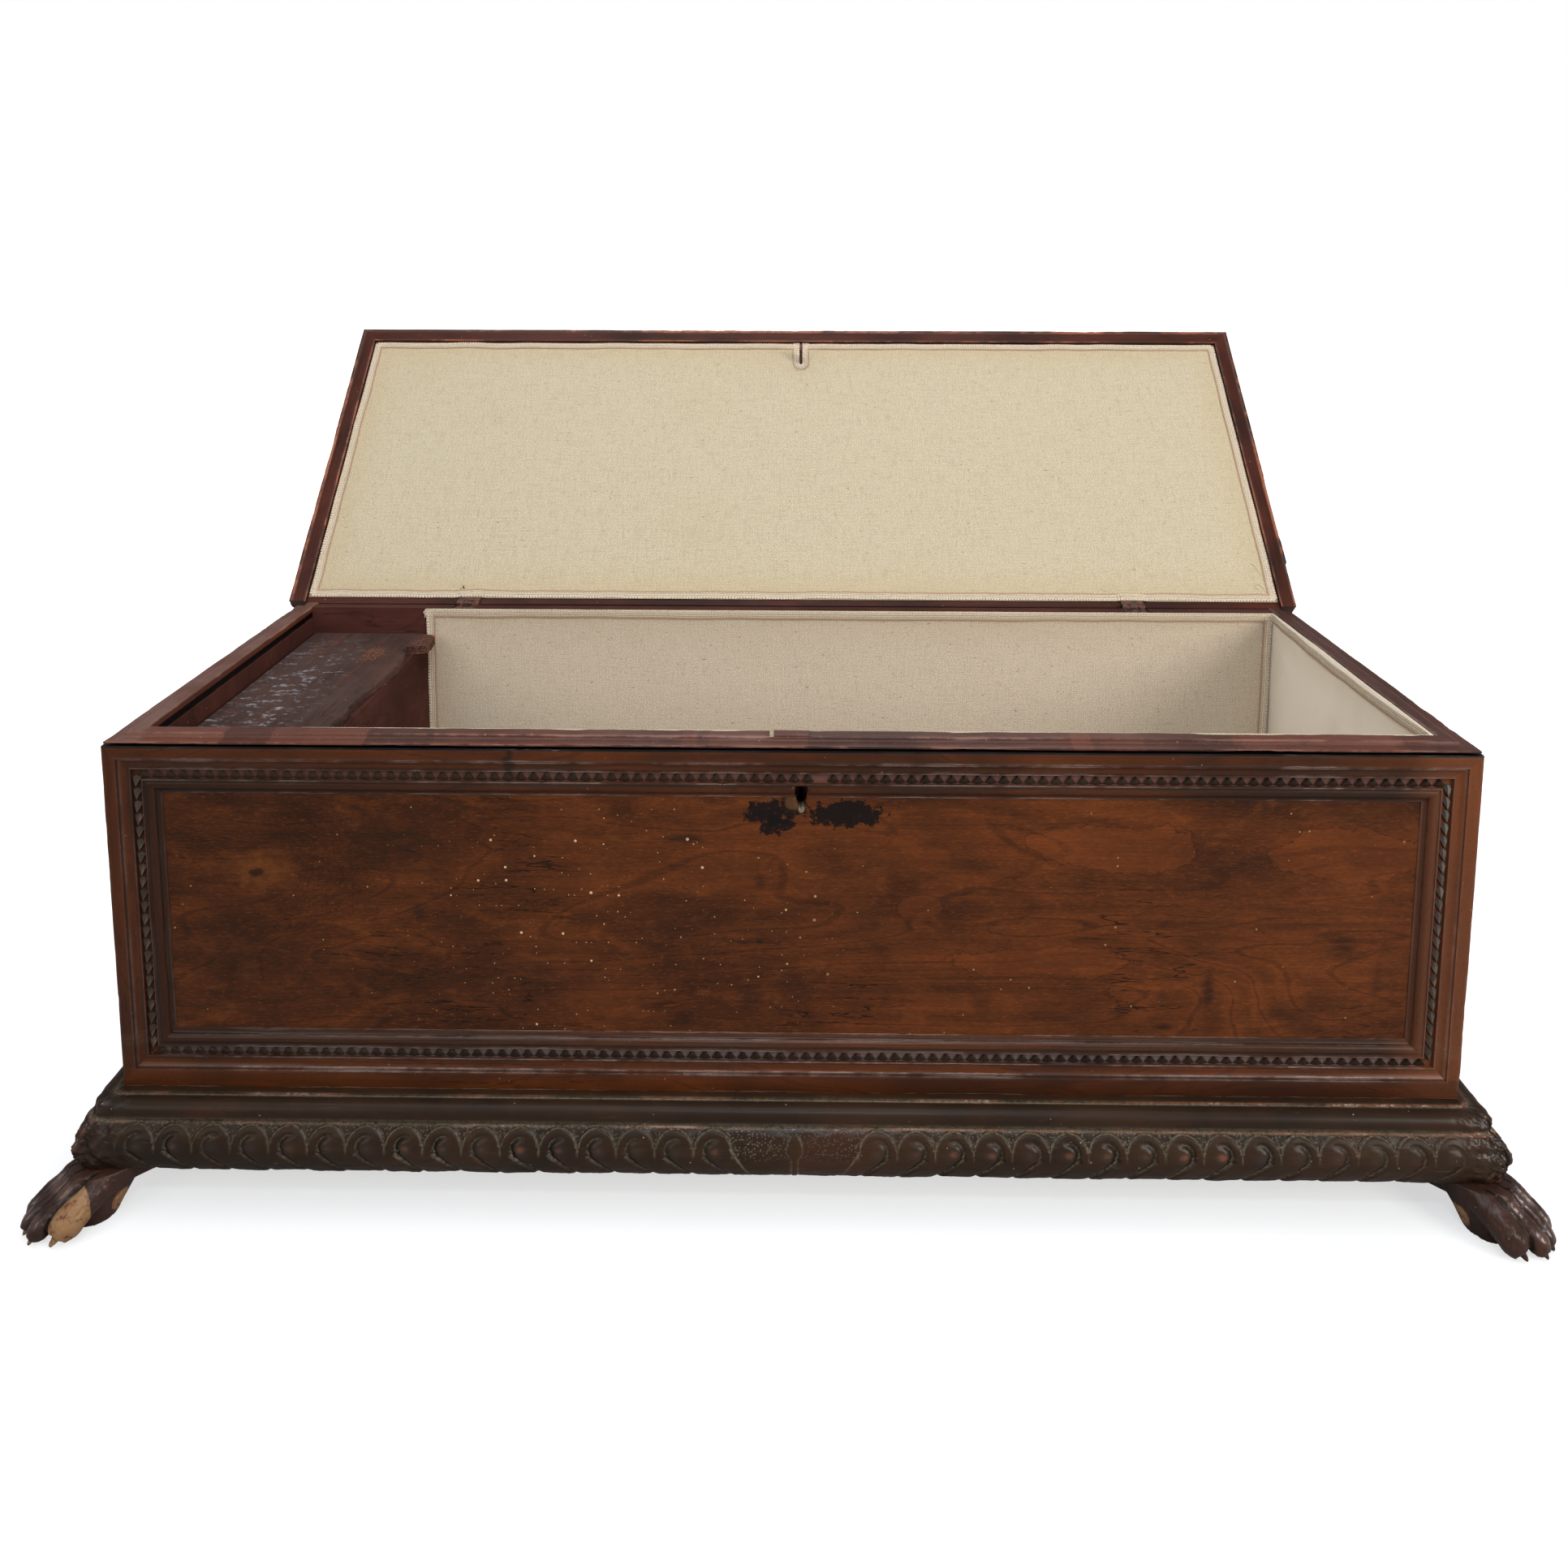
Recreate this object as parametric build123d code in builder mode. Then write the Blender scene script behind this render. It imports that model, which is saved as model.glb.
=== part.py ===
"""Walnut cassone: a lidded chest on a gadrooned base and carved paw feet.

Millimetres. +Z is up and the front faces -Y. The origin lies on the floor, under the middle of
the case. The lid is drawn open, leaning back on its hinges.
"""

import os
from math import cos, radians, sin

from build123d import *

os.makedirs("parts", exist_ok=True)

# ---------------------------------------------------------------------------
# Driving dimensions
# ---------------------------------------------------------------------------

# Case
case_width = 1600.0  # over the front frame
case_depth = 560.0  # face of the front frame to the back of the back board
rim_height = 570.0  # floor to the ledge that the lid closes on
foot_height = 57.0
base_height = 80.0
board_thickness = 24.0  # front and end boards
back_thickness = 27.0
board_lift = 5.0  # carcase boards stop this far above the foot of the base
joint_gap = 0.1  # glue line at a mitre, on each side

# Front frame: widths across the moulding, from its outer edge inwards
frame_thickness = 14.0
frame_drop = 5.0  # top of the frame below the ledge
frame_plinth = 7.0  # plain strip under the bottom rail
fascia_width = 16.0
cove_width = 12.0
fillet_width = 2.0
tooth_band = 12.0
inner_fillets = 4.0
bead_width = 10.0
hollow_width = 6.0
quirk_width = 2.0  # sunk step between the fascia and the cove
channel_height = 5.0  # floor of the tooth band, above the board
fillet_height = 9.5
quirk_height = 12.0
cove_foot_height = 8.0
bead_foot_height = 5.0
hollow_height = 3.0
hollow_lip = 1.0
cove_bend = (0.35, 0.7)  # middle of the curve: share of the way across and of the way down
bead_crown = 0.55  # share of the way across
bead_rise = 1.0  # crown of the bead above the fillet beside it
hollow_bend = (0.4, 0.67)

# Dogtooth strips
tooth_pitch = 15.2
tooth_rise = 3.6
tooth_backing = 0.8
strip_play = 0.2  # strip to each side of its channel

# End frames
end_fascia = 34.0
end_ovolo = 16.0
end_lip = 3.0
ovolo_bend = (0.66, 0.38)

# Base moulding: reach out from the boards
base_projection = 60.0
base_foot_reach = 50.0
base_cap_reach = 24.0
base_neck_reach = 44.0
base_shoulder_reach = 46.0
base_cap_height = 3.0
base_torus_height = 10.0
base_neck_height = 8.0
torus_bend = (0.2, 0.75)
base_swell = 0.46  # height of the widest part, as a share of the gadrooned member

# Rim rails
rail_height = 12.0
rail_setback = 2.0  # ledge behind the face of the frame
rail_nosing = 3.0  # thickness where the rail laps over the frame
strip_width = 18.0
strip_rise = 5.0  # raised inner strip above the ledge
riser_batter = 2.0
patch_start = -17.0
patch_width = 42.0
patch_notch = 5.0  # gap left beside the patch
patch_depth = 9.0
patch_proud = 1.0

# Floor of the case
bottom_thickness = 20.0
bottom_board_names = ("front", "middle", "rear")
bottom_board_gap = 0.5
batten_width = 24.0
batten_height = 22.0

# Feet
foot_block_side = 90.0
heel_reach = 205.0  # heel pad, back from the corner of the base along the diagonal
heel_width = 60.0
heel_thickness = 22.0
heel_dowel = 175.0  # dowel back from the corner of the base
dowel_radius = 6.0
dowel_length = 40.0
dowel_play = 0.1
rear_foot_top = 90.0
rear_foot_sole = 70.0
rear_foot_inset = 12.0
paw_length = 124.0  # body of the paw, without the toes
paw_width = 78.0
paw_height_shares = (1.0, 0.45, 0.0)  # heights at which the body's section is set
paw_centre_shares = (0.52, 0.42, 0.36)  # of its length, back from the corner
paw_half_shares = (0.54, 0.46, 0.40)  # of its length
paw_breadth_shares = (0.50, 0.44, 0.40)  # of its width
toe_radius = 13.5
toe_count = 4
toe_reach = 54.0  # longest toe beyond the corner of the base
toe_fall = 0.45  # how much shorter a toe is for each millimetre off the middle
toe_margin = 8.0
toe_root_share = 0.36  # of the paw's length, back from the corner
toe_root_spread = 0.75  # spacing at the roots, as a share of that at the tips
toe_root_size = 0.85  # radii as shares of the toe's own
toe_waist_size = 0.8
toe_tip_height = 0.8
toe_waist_place = 0.42  # along the toe
toe_bulb_place = 0.74

# Till at the left end
till_width = 172.0
till_side_thickness = 10.0
till_depth = 200.0
till_bottom_thickness = 10.0
till_lid_thickness = 12.0
till_lid_drop = 36.0  # top of the till lid below the ledge
till_lid_play = 2.0  # each end of the till lid to its wall
till_lid_overhang = 6.0
till_pivot_radius = 5.0
till_pivot_length = 10.0
till_pivot_play = 0.06
till_pivot_inset = 14.0
till_edge_play = 5.0
till_rest_gap = 0.3
till_lug_reach = 16.0
till_lug_length = 62.0
till_lug_start = 3.0  # from the rear edge of the till lid
till_scar_depth = 13.0  # how far the broken edge eats in beside the lug

# Lining
cloth = 1.0
lining_drop = 1.0  # top edge below the raised strip
lock_margin = 1.0  # gap in the lining round the lock plate
braid_width = 15.0
braid_thickness = 1.2

# Lid
lid_open_angle = 133.5
lid_thickness = 22.0
lid_overhang = 12.0
lid_border = 28.0  # width of the moulding round the lid
lid_gap = 0.5  # closed lid above the ledge
lid_clearance = 3.5  # lid board above the raised strip
lid_lining_inset = 1.0
lid_lining_rear = 12.0  # bare board behind the lining
lid_nosing = 10.0  # rounded edge
lid_quirk = 1.5  # step beside the rounded edge
lid_nosing_bend = (0.7, 0.3)

# Hinges
hinge_insets = {"left": 280.0, "right": 252.0}  # middle of each hinge from its end of the case
hinge_offset = 1.5  # pin behind the back of the case
leaf_thickness = 3.0
leaf_width = 36.0
case_leaf_length = 26.0
lid_leaf_length = 40.0
knuckle_radius = 5.5
knuckle_play = 0.7
knuckle_side_play = 0.3
hinge_pin_radius = 2.25
hinge_pin_play = 0.05
hinge_nail_head = 3.2
hinge_nail_shank = 1.2
hinge_nail_length = 16.0
nail_head_rise = 1.0
nail_hole_play = 0.05
case_nail_shares = (0.38, 0.78)  # along the case leaf, from the back of the case
lid_nail_share = 0.75  # along the lid leaf
hinge_notch_play = 1.0  # gap in the lining round a leaf

# Lock, seen from the front at keyhole_x
keyhole_x = 15.0
keyhole_drop = 67.0  # keyhole centre below the ledge
keyhole_radius = 5.0
keyhole_slot_width = 6.0
keyhole_length = 28.0
lock_plate_width = 124.0
lock_plate_height = 82.0
lock_plate_thickness = 2.0
lock_plate_drop = 14.0  # top of the plate below the ledge
lock_case_width = 104.0
lock_case_height = 74.0
lock_case_depth = 27.0
lock_wall = 1.5
lock_drop = 16.0  # top of the lock case below the ledge
bolt_side = 7.0
bolt_length = 41.0
bolt_play = 0.2
bolt_travel = 12.0
bolt_lead = 4.0  # withdrawn bolt end to the staple
guide_width = 6.0
guide_wall = 3.0
guide_setback = 1.0  # guide inside the end of the bolt
guide_catch = 3.0  # thrown bolt's hold in the far guide
key_pin_radius = 1.7
key_pin_length = 36.0
lock_nail_head = 3.0
lock_nail_shank = 1.2
lock_nail_length = 15.0
lock_nail_inset = 4.0
lock_nail_tail = 1.0  # hole beyond the nail's point

# Staple on the lid
staple_reach = 42.0
staple_thickness = 5.0
staple_width = 14.0
staple_eye = 9.0
staple_tip = 3.0  # iron left below the eye
staple_setback = 19.5  # behind the inner face of the front board
staple_flange = 18.0
staple_flange_thickness = 1.5
staple_slot_play = 3.0
staple_window = 24.0  # width of the gap in the lining round the staple
staple_window_margin = 9.0

# ---------------------------------------------------------------------------
# Places worked out from the dimensions
# ---------------------------------------------------------------------------

half_width = case_width / 2
front_face = -case_depth / 2
back_face = case_depth / 2
board_front = front_face + frame_thickness
inner_front = board_front + board_thickness
inner_back = back_face - back_thickness
board_side = half_width - frame_thickness
inner_side = board_side - board_thickness
base_top = foot_height + base_height
board_bottom = foot_height + board_lift
frame_top = rim_height - frame_drop
frame_bottom = base_top + frame_plinth
rail_bottom = rim_height - rail_height
rail_width = frame_thickness - rail_setback + board_thickness
strip_top = rim_height + strip_rise
tooth_start = fascia_width + cove_width + fillet_width
tooth_end = tooth_start + tooth_band
bead_start = tooth_end + inner_fillets
bead_end = bead_start + bead_width
frame_width = bead_end + hollow_width
floor_bottom = board_bottom + batten_height
floor_top = floor_bottom + bottom_thickness
mid_depth = (inner_front + inner_back) / 2

till_side_x = -inner_side + till_width
till_lid_top = rim_height - till_lid_drop
till_lid_bottom = till_lid_top - till_lid_thickness
till_floor_top = till_lid_bottom - till_depth
till_side_top = till_lid_bottom - till_rest_gap
till_pivot_x = -inner_side + till_pivot_inset
till_pivot_z = till_lid_bottom + till_lid_thickness / 2
lining_left = till_side_x + till_side_thickness

lid_underside = strip_top + lid_clearance
lid_top = lid_underside + lid_thickness
moulding_underside = rim_height + lid_gap
hinge_y = back_face + hinge_offset
hinge_z = (rim_height + lid_underside) / 2
hinge_positions = {"left": hinge_insets["left"] - half_width, "right": half_width - hinge_insets["right"]}
knuckle_clearance = knuckle_radius + knuckle_play
lid_half_width = half_width + lid_overhang
lid_front = front_face - lid_overhang
lid_board_half = lid_half_width - lid_border
lid_board_front = lid_front + lid_border

staple_y = inner_front + staple_setback
staple_end = lid_underside - staple_reach
eye_middle = staple_end + staple_tip + staple_eye / 2
keyhole_z = rim_height - keyhole_drop
keyhole_head_z = keyhole_z + keyhole_length / 2 - keyhole_radius
lock_top = rim_height - lock_drop
lock_plate_top = rim_height - lock_plate_drop
bolt_start = keyhole_x - staple_thickness / 2 - bolt_lead - bolt_length
lock_front = inner_front + lock_plate_thickness
lock_back = inner_front + lock_case_depth + lock_plate_thickness

UP = Vector(0, 0, 1)
RIGHT = Vector(1, 0, 0)
BACK = Vector(0, 1, 0)
FRONT = Vector(0, -1, 0)

# Lid frame: x to the right, y from the hinge to the lid's front edge, z out of the lined side
lid_plane = Plane(
    origin=(0, hinge_y, hinge_z),
    x_dir=(1, 0, 0),
    z_dir=(0, -sin(radians(lid_open_angle)), -cos(radians(lid_open_angle))),
)


def lid_along(closed_y):
    """Distance from the hinge axis of a point that lies at closed_y when the lid is shut."""
    return hinge_y - closed_y


def lid_out(closed_z):
    """Distance out of the lid plane of a point that lies at closed_z when the lid is shut."""
    return hinge_z - closed_z


# ---------------------------------------------------------------------------
# Helpers
# ---------------------------------------------------------------------------


def save(piece, name):
    """Label a finished piece and write it under its own name."""
    piece.part.label = name
    export_step(piece.part, f"parts/{name}.step")


def block(x_range, y_range, z_range, mode=Mode.ADD):
    """Square-edged stock between two corners, in the builder that is open."""
    ranges = (x_range, y_range, z_range)
    centre = [(low + high) / 2 for low, high in ranges]
    size = [high - low for low, high in ranges]
    with Locations(tuple(centre)):
        Box(*size, mode=mode)


def lid_block(x_range, y_range, z_range, mode=Mode.ADD):
    """Square-edged stock on the open lid, given by where it lies when the lid is shut."""
    near, far = lid_along(y_range[1]), lid_along(y_range[0])
    with BuildSketch(lid_plane.offset(lid_out(z_range[1]))) as outline:
        with Locations((sum(x_range) / 2, (near + far) / 2)):
            Rectangle(x_range[1] - x_range[0], far - near)
    extrude(outline.sketch, amount=z_range[1] - z_range[0], mode=mode)


def curve(start, end, bend):
    """A curved member; bend gives the share of the way from start to end, in x and in y."""
    middle = [near + (far - near) * share for near, far, share in zip(start, end, bend)]
    ThreePointArc(start, tuple(middle), end)


def along_x(length, radius, x, y, z, mode=Mode.ADD):
    """A round bar or hole that runs along X, centred on x."""
    with Locations(Location((x, y, z), (0, 90, 0))):
        Cylinder(radius, length, mode=mode)


def along_y(length, radius, x, y, z, mode=Mode.ADD):
    """A round bar or hole that runs along Y, centred on y."""
    with Locations(Location((x, y, z), (90, 0, 0))):
        Cylinder(radius, length, mode=mode)


def cut_mitres(edge, length, ends, lean):
    """Cut the named ends (-1 start, +1 finish) at 45 degrees; lean is +1 to narrow, -1 to widen."""
    for end in ends:
        corner = edge.origin + edge.x_dir * (end * (length / 2 - joint_gap))
        slope = edge.x_dir * end + edge.y_dir * lean
        split(bisect_by=Plane(origin=corner, z_dir=slope), keep=Keep.BOTTOM)


def moulding(edge, length, outline, ends=(-1, 1), lean=1, overrun=0.0):
    """A straight moulding. edge has x along the length, y across the section and z out of it."""
    start = edge.origin - edge.x_dir * (length / 2 + (overrun if -1 in ends else 0))
    run = length + overrun * len(ends)
    with BuildPart() as piece:
        with BuildSketch(Plane(origin=start, x_dir=edge.y_dir, z_dir=edge.x_dir)):
            with BuildLine():
                outline()
            make_face()
        extrude(amount=run)
        cut_mitres(edge, length, ends, lean)
    return piece


def frame_edges(face, width, height):
    """The four outer edges of a rectangle on a face, each with its length."""
    sides = (
        ("bottom_rail", -face.y_dir * (height / 2), face.x_dir, width),
        ("right_stile", face.x_dir * (width / 2), face.y_dir, height),
        ("top_rail", face.y_dir * (height / 2), -face.x_dir, width),
        ("left_stile", -face.x_dir * (width / 2), -face.y_dir, height),
    )
    return {
        name: (Plane(origin=face.origin + shift, x_dir=run, z_dir=face.z_dir), length)
        for name, shift, run, length in sides
    }


# ---------------------------------------------------------------------------
# Keyhole, shared by the rail, the board and the lock plate
# ---------------------------------------------------------------------------


def keyhole_cut(y_low, y_high):
    """Cut the round-headed keyhole through whatever lies between two depths."""
    middle = (y_low + y_high) / 2
    half_slot = keyhole_slot_width / 2
    along_y(y_high - y_low, keyhole_radius, keyhole_x, middle, keyhole_head_z, Mode.SUBTRACT)
    block(
        (keyhole_x - half_slot, keyhole_x + half_slot),
        (y_low, y_high),
        (keyhole_z - keyhole_length / 2, keyhole_head_z),
        Mode.SUBTRACT,
    )


# ---------------------------------------------------------------------------
# Carcase boards
# ---------------------------------------------------------------------------

till_hole_depth = till_pivot_length + till_lid_play


def till_pivot_hole(inner_face, direction):
    """Blind hole in a wall for the till lid's wooden pin."""
    middle = inner_face + direction * till_hole_depth / 2
    hole_radius = till_pivot_radius + till_pivot_play
    along_y(till_hole_depth, hole_radius, till_pivot_x, middle, till_pivot_z, Mode.SUBTRACT)


def lock_nail_places():
    """The four corners of the lock plate where it is nailed."""
    across = lock_plate_width / 2 - lock_nail_inset
    top = lock_plate_top - lock_nail_inset
    bottom = lock_plate_top - lock_plate_height + lock_nail_inset
    return [(keyhole_x + side * across, z) for side in (-1, 1) for z in (bottom, top)]


def lock_nail_holes():
    """Pilot holes for the lock nails, through the plate and into the front board."""
    reach = lock_nail_length + lock_nail_tail
    for x, z in lock_nail_places():
        middle = lock_front - reach / 2
        along_y(reach, lock_nail_shank + nail_hole_play, x, middle, z, Mode.SUBTRACT)


with BuildPart() as front_board:
    block((-board_side, board_side), (board_front, inner_front), (board_bottom, rail_bottom))
    keyhole_cut(board_front, inner_front)
    till_pivot_hole(inner_front, -1)
    lock_nail_holes()
save(front_board, "front_board")

for side_name, side in (("left", -1), ("right", 1)):
    with BuildPart() as end_board:
        outer, inner = sorted((side * board_side, side * inner_side))
        block((outer, inner), (inner_front, inner_back), (board_bottom, rail_bottom))
    save(end_board, f"{side_name}_end_board")


def hinge_nail_depths():
    """Depths of the two nails in a case leaf."""
    return [back_face - case_leaf_length * share for share in case_nail_shares]


with BuildPart() as back_board:
    block((-board_side, board_side), (inner_back, back_face), (board_bottom, rail_bottom))
    block((-inner_side, inner_side), (inner_back, back_face), (rail_bottom, rim_height))
    block((-inner_side, inner_side), (inner_back, inner_back + strip_width), (rim_height, strip_top))
    till_pivot_hole(inner_back, 1)
    for hinge_x in hinge_positions.values():
        half_leaf = leaf_width / 2 + knuckle_side_play
        hinge_gap = (hinge_x - half_leaf, hinge_x + half_leaf)
        block(hinge_gap, (inner_back, back_face), (rim_height, strip_top), Mode.SUBTRACT)
        along_x(2 * half_leaf, knuckle_clearance, hinge_x, hinge_y, hinge_z, Mode.SUBTRACT)
        for nail_y in hinge_nail_depths():
            with Locations((hinge_x, nail_y, rim_height - hinge_nail_length / 2)):
                Cylinder(hinge_nail_shank + nail_hole_play, hinge_nail_length, mode=Mode.SUBTRACT)
save(back_board, "back_board")

# Bottom boards run the length of the case and lie on three battens
bottom_depth = inner_back - inner_front
bottom_board_depth = bottom_depth / len(bottom_board_names)
for index, place in enumerate(bottom_board_names):
    with BuildPart() as bottom_board:
        near = inner_front + index * bottom_board_depth + bottom_board_gap / 2
        far = near + bottom_board_depth - bottom_board_gap
        block((-inner_side, inner_side), (near, far), (floor_bottom, floor_top))
    save(bottom_board, f"bottom_board_{place}")

with BuildPart() as bottom_battens:
    half_batten = batten_width / 2
    for batten_x in (-inner_side + half_batten, 0, inner_side - half_batten):
        block(
            (batten_x - half_batten, batten_x + half_batten),
            (inner_front, inner_back),
            (board_bottom, floor_bottom),
        )
save(bottom_battens, "bottom_battens")

# ---------------------------------------------------------------------------
# Rim rails: an outer ledge, a battered riser and a raised inner strip
# ---------------------------------------------------------------------------


def rim_outline():
    """Section of a rim rail; x goes in from the ledge's outer edge, y is up from the ledge."""
    lap = rail_width - board_thickness
    strip_edge = rail_width - strip_width
    Polyline(
        (0, 0),
        (0, -rail_nosing),
        (lap, -rail_nosing),
        (lap, -rail_height),
        (rail_width, -rail_height),
        (rail_width, strip_rise),
        (strip_edge, strip_rise),
        (strip_edge - riser_batter, 0),
        close=True,
    )


rail_edge = half_width - rail_setback
rail_front = front_face + rail_setback
rail_run = back_face - rail_front
front_rail_edge = Plane(origin=(0, rail_front, rim_height), x_dir=RIGHT, z_dir=UP)
left_rail_edge = Plane(origin=(-rail_edge, rail_front + rail_run / 2, rim_height), x_dir=FRONT, z_dir=UP)
right_rail_edge = Plane(origin=(rail_edge, rail_front + rail_run / 2, rim_height), x_dir=BACK, z_dir=UP)

with BuildPart() as front_rim_rail:
    add(moulding(front_rail_edge, 2 * rail_edge, rim_outline).part)
    block(
        (patch_start - patch_notch, patch_start + patch_width),
        (inner_front - strip_width, inner_front),
        (strip_top - patch_depth, strip_top),
        Mode.SUBTRACT,
    )
save(front_rim_rail, "front_rim_rail")

left_rim_rail = moulding(left_rail_edge, rail_run, rim_outline, ends=(1,))
save(left_rim_rail, "left_rim_rail")

right_rim_rail = moulding(right_rail_edge, rail_run, rim_outline, ends=(-1,))
save(right_rim_rail, "right_rim_rail")

with BuildPart() as rim_patch:
    block(
        (patch_start, patch_start + patch_width - joint_gap),
        (inner_front - strip_width + joint_gap, inner_front),
        (strip_top - patch_depth, strip_top + patch_proud),
    )
save(rim_patch, "rim_patch")

# ---------------------------------------------------------------------------
# Front frame and its dogtooth strips
# ---------------------------------------------------------------------------


def front_frame_outline(plinth=0.0):
    """Section of the front frame; x goes in from the outer edge, y is proud of the board."""
    cove_start = fascia_width + quirk_width
    cove_end = fascia_width + cove_width
    step = inner_fillets / 2
    Polyline(
        (frame_width, 0),
        (-plinth, 0),
        (-plinth, frame_thickness),
        (fascia_width, frame_thickness),
        (fascia_width, quirk_height),
        (cove_start, quirk_height),
    )
    curve((cove_start, quirk_height), (cove_end, cove_foot_height), cove_bend)
    Polyline(
        (cove_end, cove_foot_height),
        (cove_end, fillet_height),
        (tooth_start, fillet_height),
        (tooth_start, channel_height),
        (tooth_end, channel_height),
        (tooth_end, fillet_height),
        (tooth_end + step, fillet_height),
        (tooth_end + step, cove_foot_height),
        (bead_start, cove_foot_height),
    )
    ThreePointArc(
        (bead_start, cove_foot_height),
        (bead_start + bead_crown * bead_width, cove_foot_height + bead_rise),
        (bead_end, bead_foot_height),
    )
    Polyline((bead_end, bead_foot_height), (bead_end, hollow_height))
    curve((bead_end, hollow_height), (frame_width, hollow_lip), hollow_bend)
    Line((frame_width, hollow_lip), (frame_width, 0))


frame_height = frame_top - frame_bottom
frame_middle = (frame_top + frame_bottom) / 2
front_panel = Plane(origin=(0, board_front, frame_middle), x_dir=RIGHT, z_dir=FRONT)

for name, (edge, length) in frame_edges(front_panel, case_width, frame_height).items():
    plinth = frame_plinth if name == "bottom_rail" else 0.0
    with BuildPart() as frame_member:
        add(moulding(edge, length, lambda: front_frame_outline(plinth)).part)
        if name == "top_rail":
            keyhole_cut(front_face, board_front)
    save(frame_member, f"frame_{name}")

channel_floor = front_panel.offset(channel_height)
strip_inset = tooth_start + strip_play
tooth_strip_width = tooth_band - 2 * strip_play
strip_edges = frame_edges(channel_floor, case_width - 2 * strip_inset, frame_height - 2 * strip_inset)

for name, (edge, length) in strip_edges.items():
    tooth_count = round(length / tooth_pitch)
    pitch = length / tooth_count
    zigzag = [(-length / 2, 0), (-length / 2, tooth_backing)]
    for tooth in range(tooth_count):
        start = -length / 2 + tooth * pitch
        zigzag += [(start + pitch / 2, tooth_backing + tooth_rise), (start + pitch, tooth_backing)]
    zigzag.append((length / 2, 0))
    with BuildPart() as dogtooth:
        with BuildSketch(Plane(origin=edge.origin, x_dir=edge.x_dir, z_dir=-edge.y_dir)):
            with BuildLine():
                Polyline(*zigzag, close=True)
            make_face()
        extrude(amount=-tooth_strip_width)
        cut_mitres(edge, length, (-1, 1), 1)
    save(dogtooth, f"dogtooth_{name}")

# ---------------------------------------------------------------------------
# End frames: a plain fascia with an ovolo round the sunk panel
# ---------------------------------------------------------------------------


def end_frame_outline():
    """Section of an end frame; x goes in from the outer edge, y is proud of the board."""
    ovolo_end = end_fascia + end_ovolo
    Polyline((ovolo_end + end_lip, 0), (0, 0), (0, frame_thickness), (end_fascia, frame_thickness))
    curve((end_fascia, frame_thickness), (ovolo_end, end_lip), ovolo_bend)
    Polyline((ovolo_end, end_lip), (ovolo_end + end_lip, end_lip), (ovolo_end + end_lip, 0))


end_depth = back_face - board_front
for side_name, side in (("left", -1), ("right", 1)):
    end_panel = Plane(
        origin=(side * board_side, (board_front + back_face) / 2, (frame_top + base_top) / 2),
        x_dir=BACK * side,
        z_dir=RIGHT * side,
    )
    with BuildPart() as end_frame:
        for edge, length in frame_edges(end_panel, end_depth, frame_top - base_top).values():
            add(moulding(edge, length, end_frame_outline).part)
    save(end_frame, f"{side_name}_end_frame")

# ---------------------------------------------------------------------------
# Base: cap, torus, neck and a swelling gadrooned member, mitred at the front corners
# ---------------------------------------------------------------------------


def base_outline():
    """Section of the base; x reaches out from the boards, y is up from the foot of the base."""
    cap_bottom = base_height - base_cap_height
    torus_bottom = cap_bottom - base_torus_height
    neck_bottom = torus_bottom - base_neck_height
    neck_foot = (base_neck_reach, neck_bottom)
    torus_foot = (base_neck_reach, torus_bottom)
    Polyline((base_shoulder_reach, neck_bottom), neck_foot, torus_foot)
    curve(torus_foot, (base_cap_reach, cap_bottom), torus_bend)
    Polyline(
        (base_cap_reach, cap_bottom),
        (base_cap_reach, base_height),
        (0, base_height),
        (0, 0),
        (base_foot_reach, 0),
    )
    swell = (base_projection, base_swell * neck_bottom)
    ThreePointArc((base_foot_reach, 0), swell, (base_shoulder_reach, neck_bottom))


base_run = back_face - board_front
base_middle = board_front + base_run / 2
base_front_edge = Plane(origin=(0, board_front, foot_height), x_dir=-RIGHT, z_dir=UP)
base_left_edge = Plane(origin=(-board_side, base_middle, foot_height), x_dir=BACK, z_dir=UP)
base_right_edge = Plane(origin=(board_side, base_middle, foot_height), x_dir=FRONT, z_dir=UP)

base_front = moulding(base_front_edge, 2 * board_side, base_outline, lean=-1, overrun=base_projection)
save(base_front, "base_front")

base_left = moulding(base_left_edge, base_run, base_outline, ends=(-1,), lean=-1, overrun=base_projection)
save(base_left, "base_left")

base_right = moulding(base_right_edge, base_run, base_outline, ends=(1,), lean=-1, overrun=base_projection)
save(base_right, "base_right")

# ---------------------------------------------------------------------------
# Feet, their blocks and dowels
# ---------------------------------------------------------------------------

base_corner = Vector(-board_side - base_projection, board_front - base_projection, 0)
paw_plane = Plane(origin=base_corner, x_dir=(-1, -1, 0), z_dir=UP)


def paw_point(out, across, height):
    """A point given in the foot's own directions: out along it, across it and up."""
    return base_corner + paw_plane.x_dir * out + paw_plane.y_dir * across + UP * height


block_outer_x = inner_side - batten_width - joint_gap
block_x = block_outer_x - foot_block_side / 2
front_block_y = inner_front + foot_block_side / 2
rear_block_y = inner_back - foot_block_side / 2
rear_foot_x = board_side - rear_foot_inset - rear_foot_top / 2
rear_foot_y = back_face - rear_foot_inset - rear_foot_top / 2
heel_point = paw_point(-heel_dowel, 0, 0)
rear_dowel_x = (block_outer_x + rear_foot_x - rear_foot_top / 2) / 2
rear_dowel_y = (inner_back + rear_foot_y - rear_foot_top / 2) / 2
block_places = [(side * block_x, y) for side in (-1, 1) for y in (front_block_y, rear_block_y)]
left_dowels = ((heel_point.X, heel_point.Y), (-rear_dowel_x, rear_dowel_y))
dowel_places = [(side * x, y) for side in (1, -1) for x, y in left_dowels]
dowel_hole = dowel_radius + dowel_play


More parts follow.
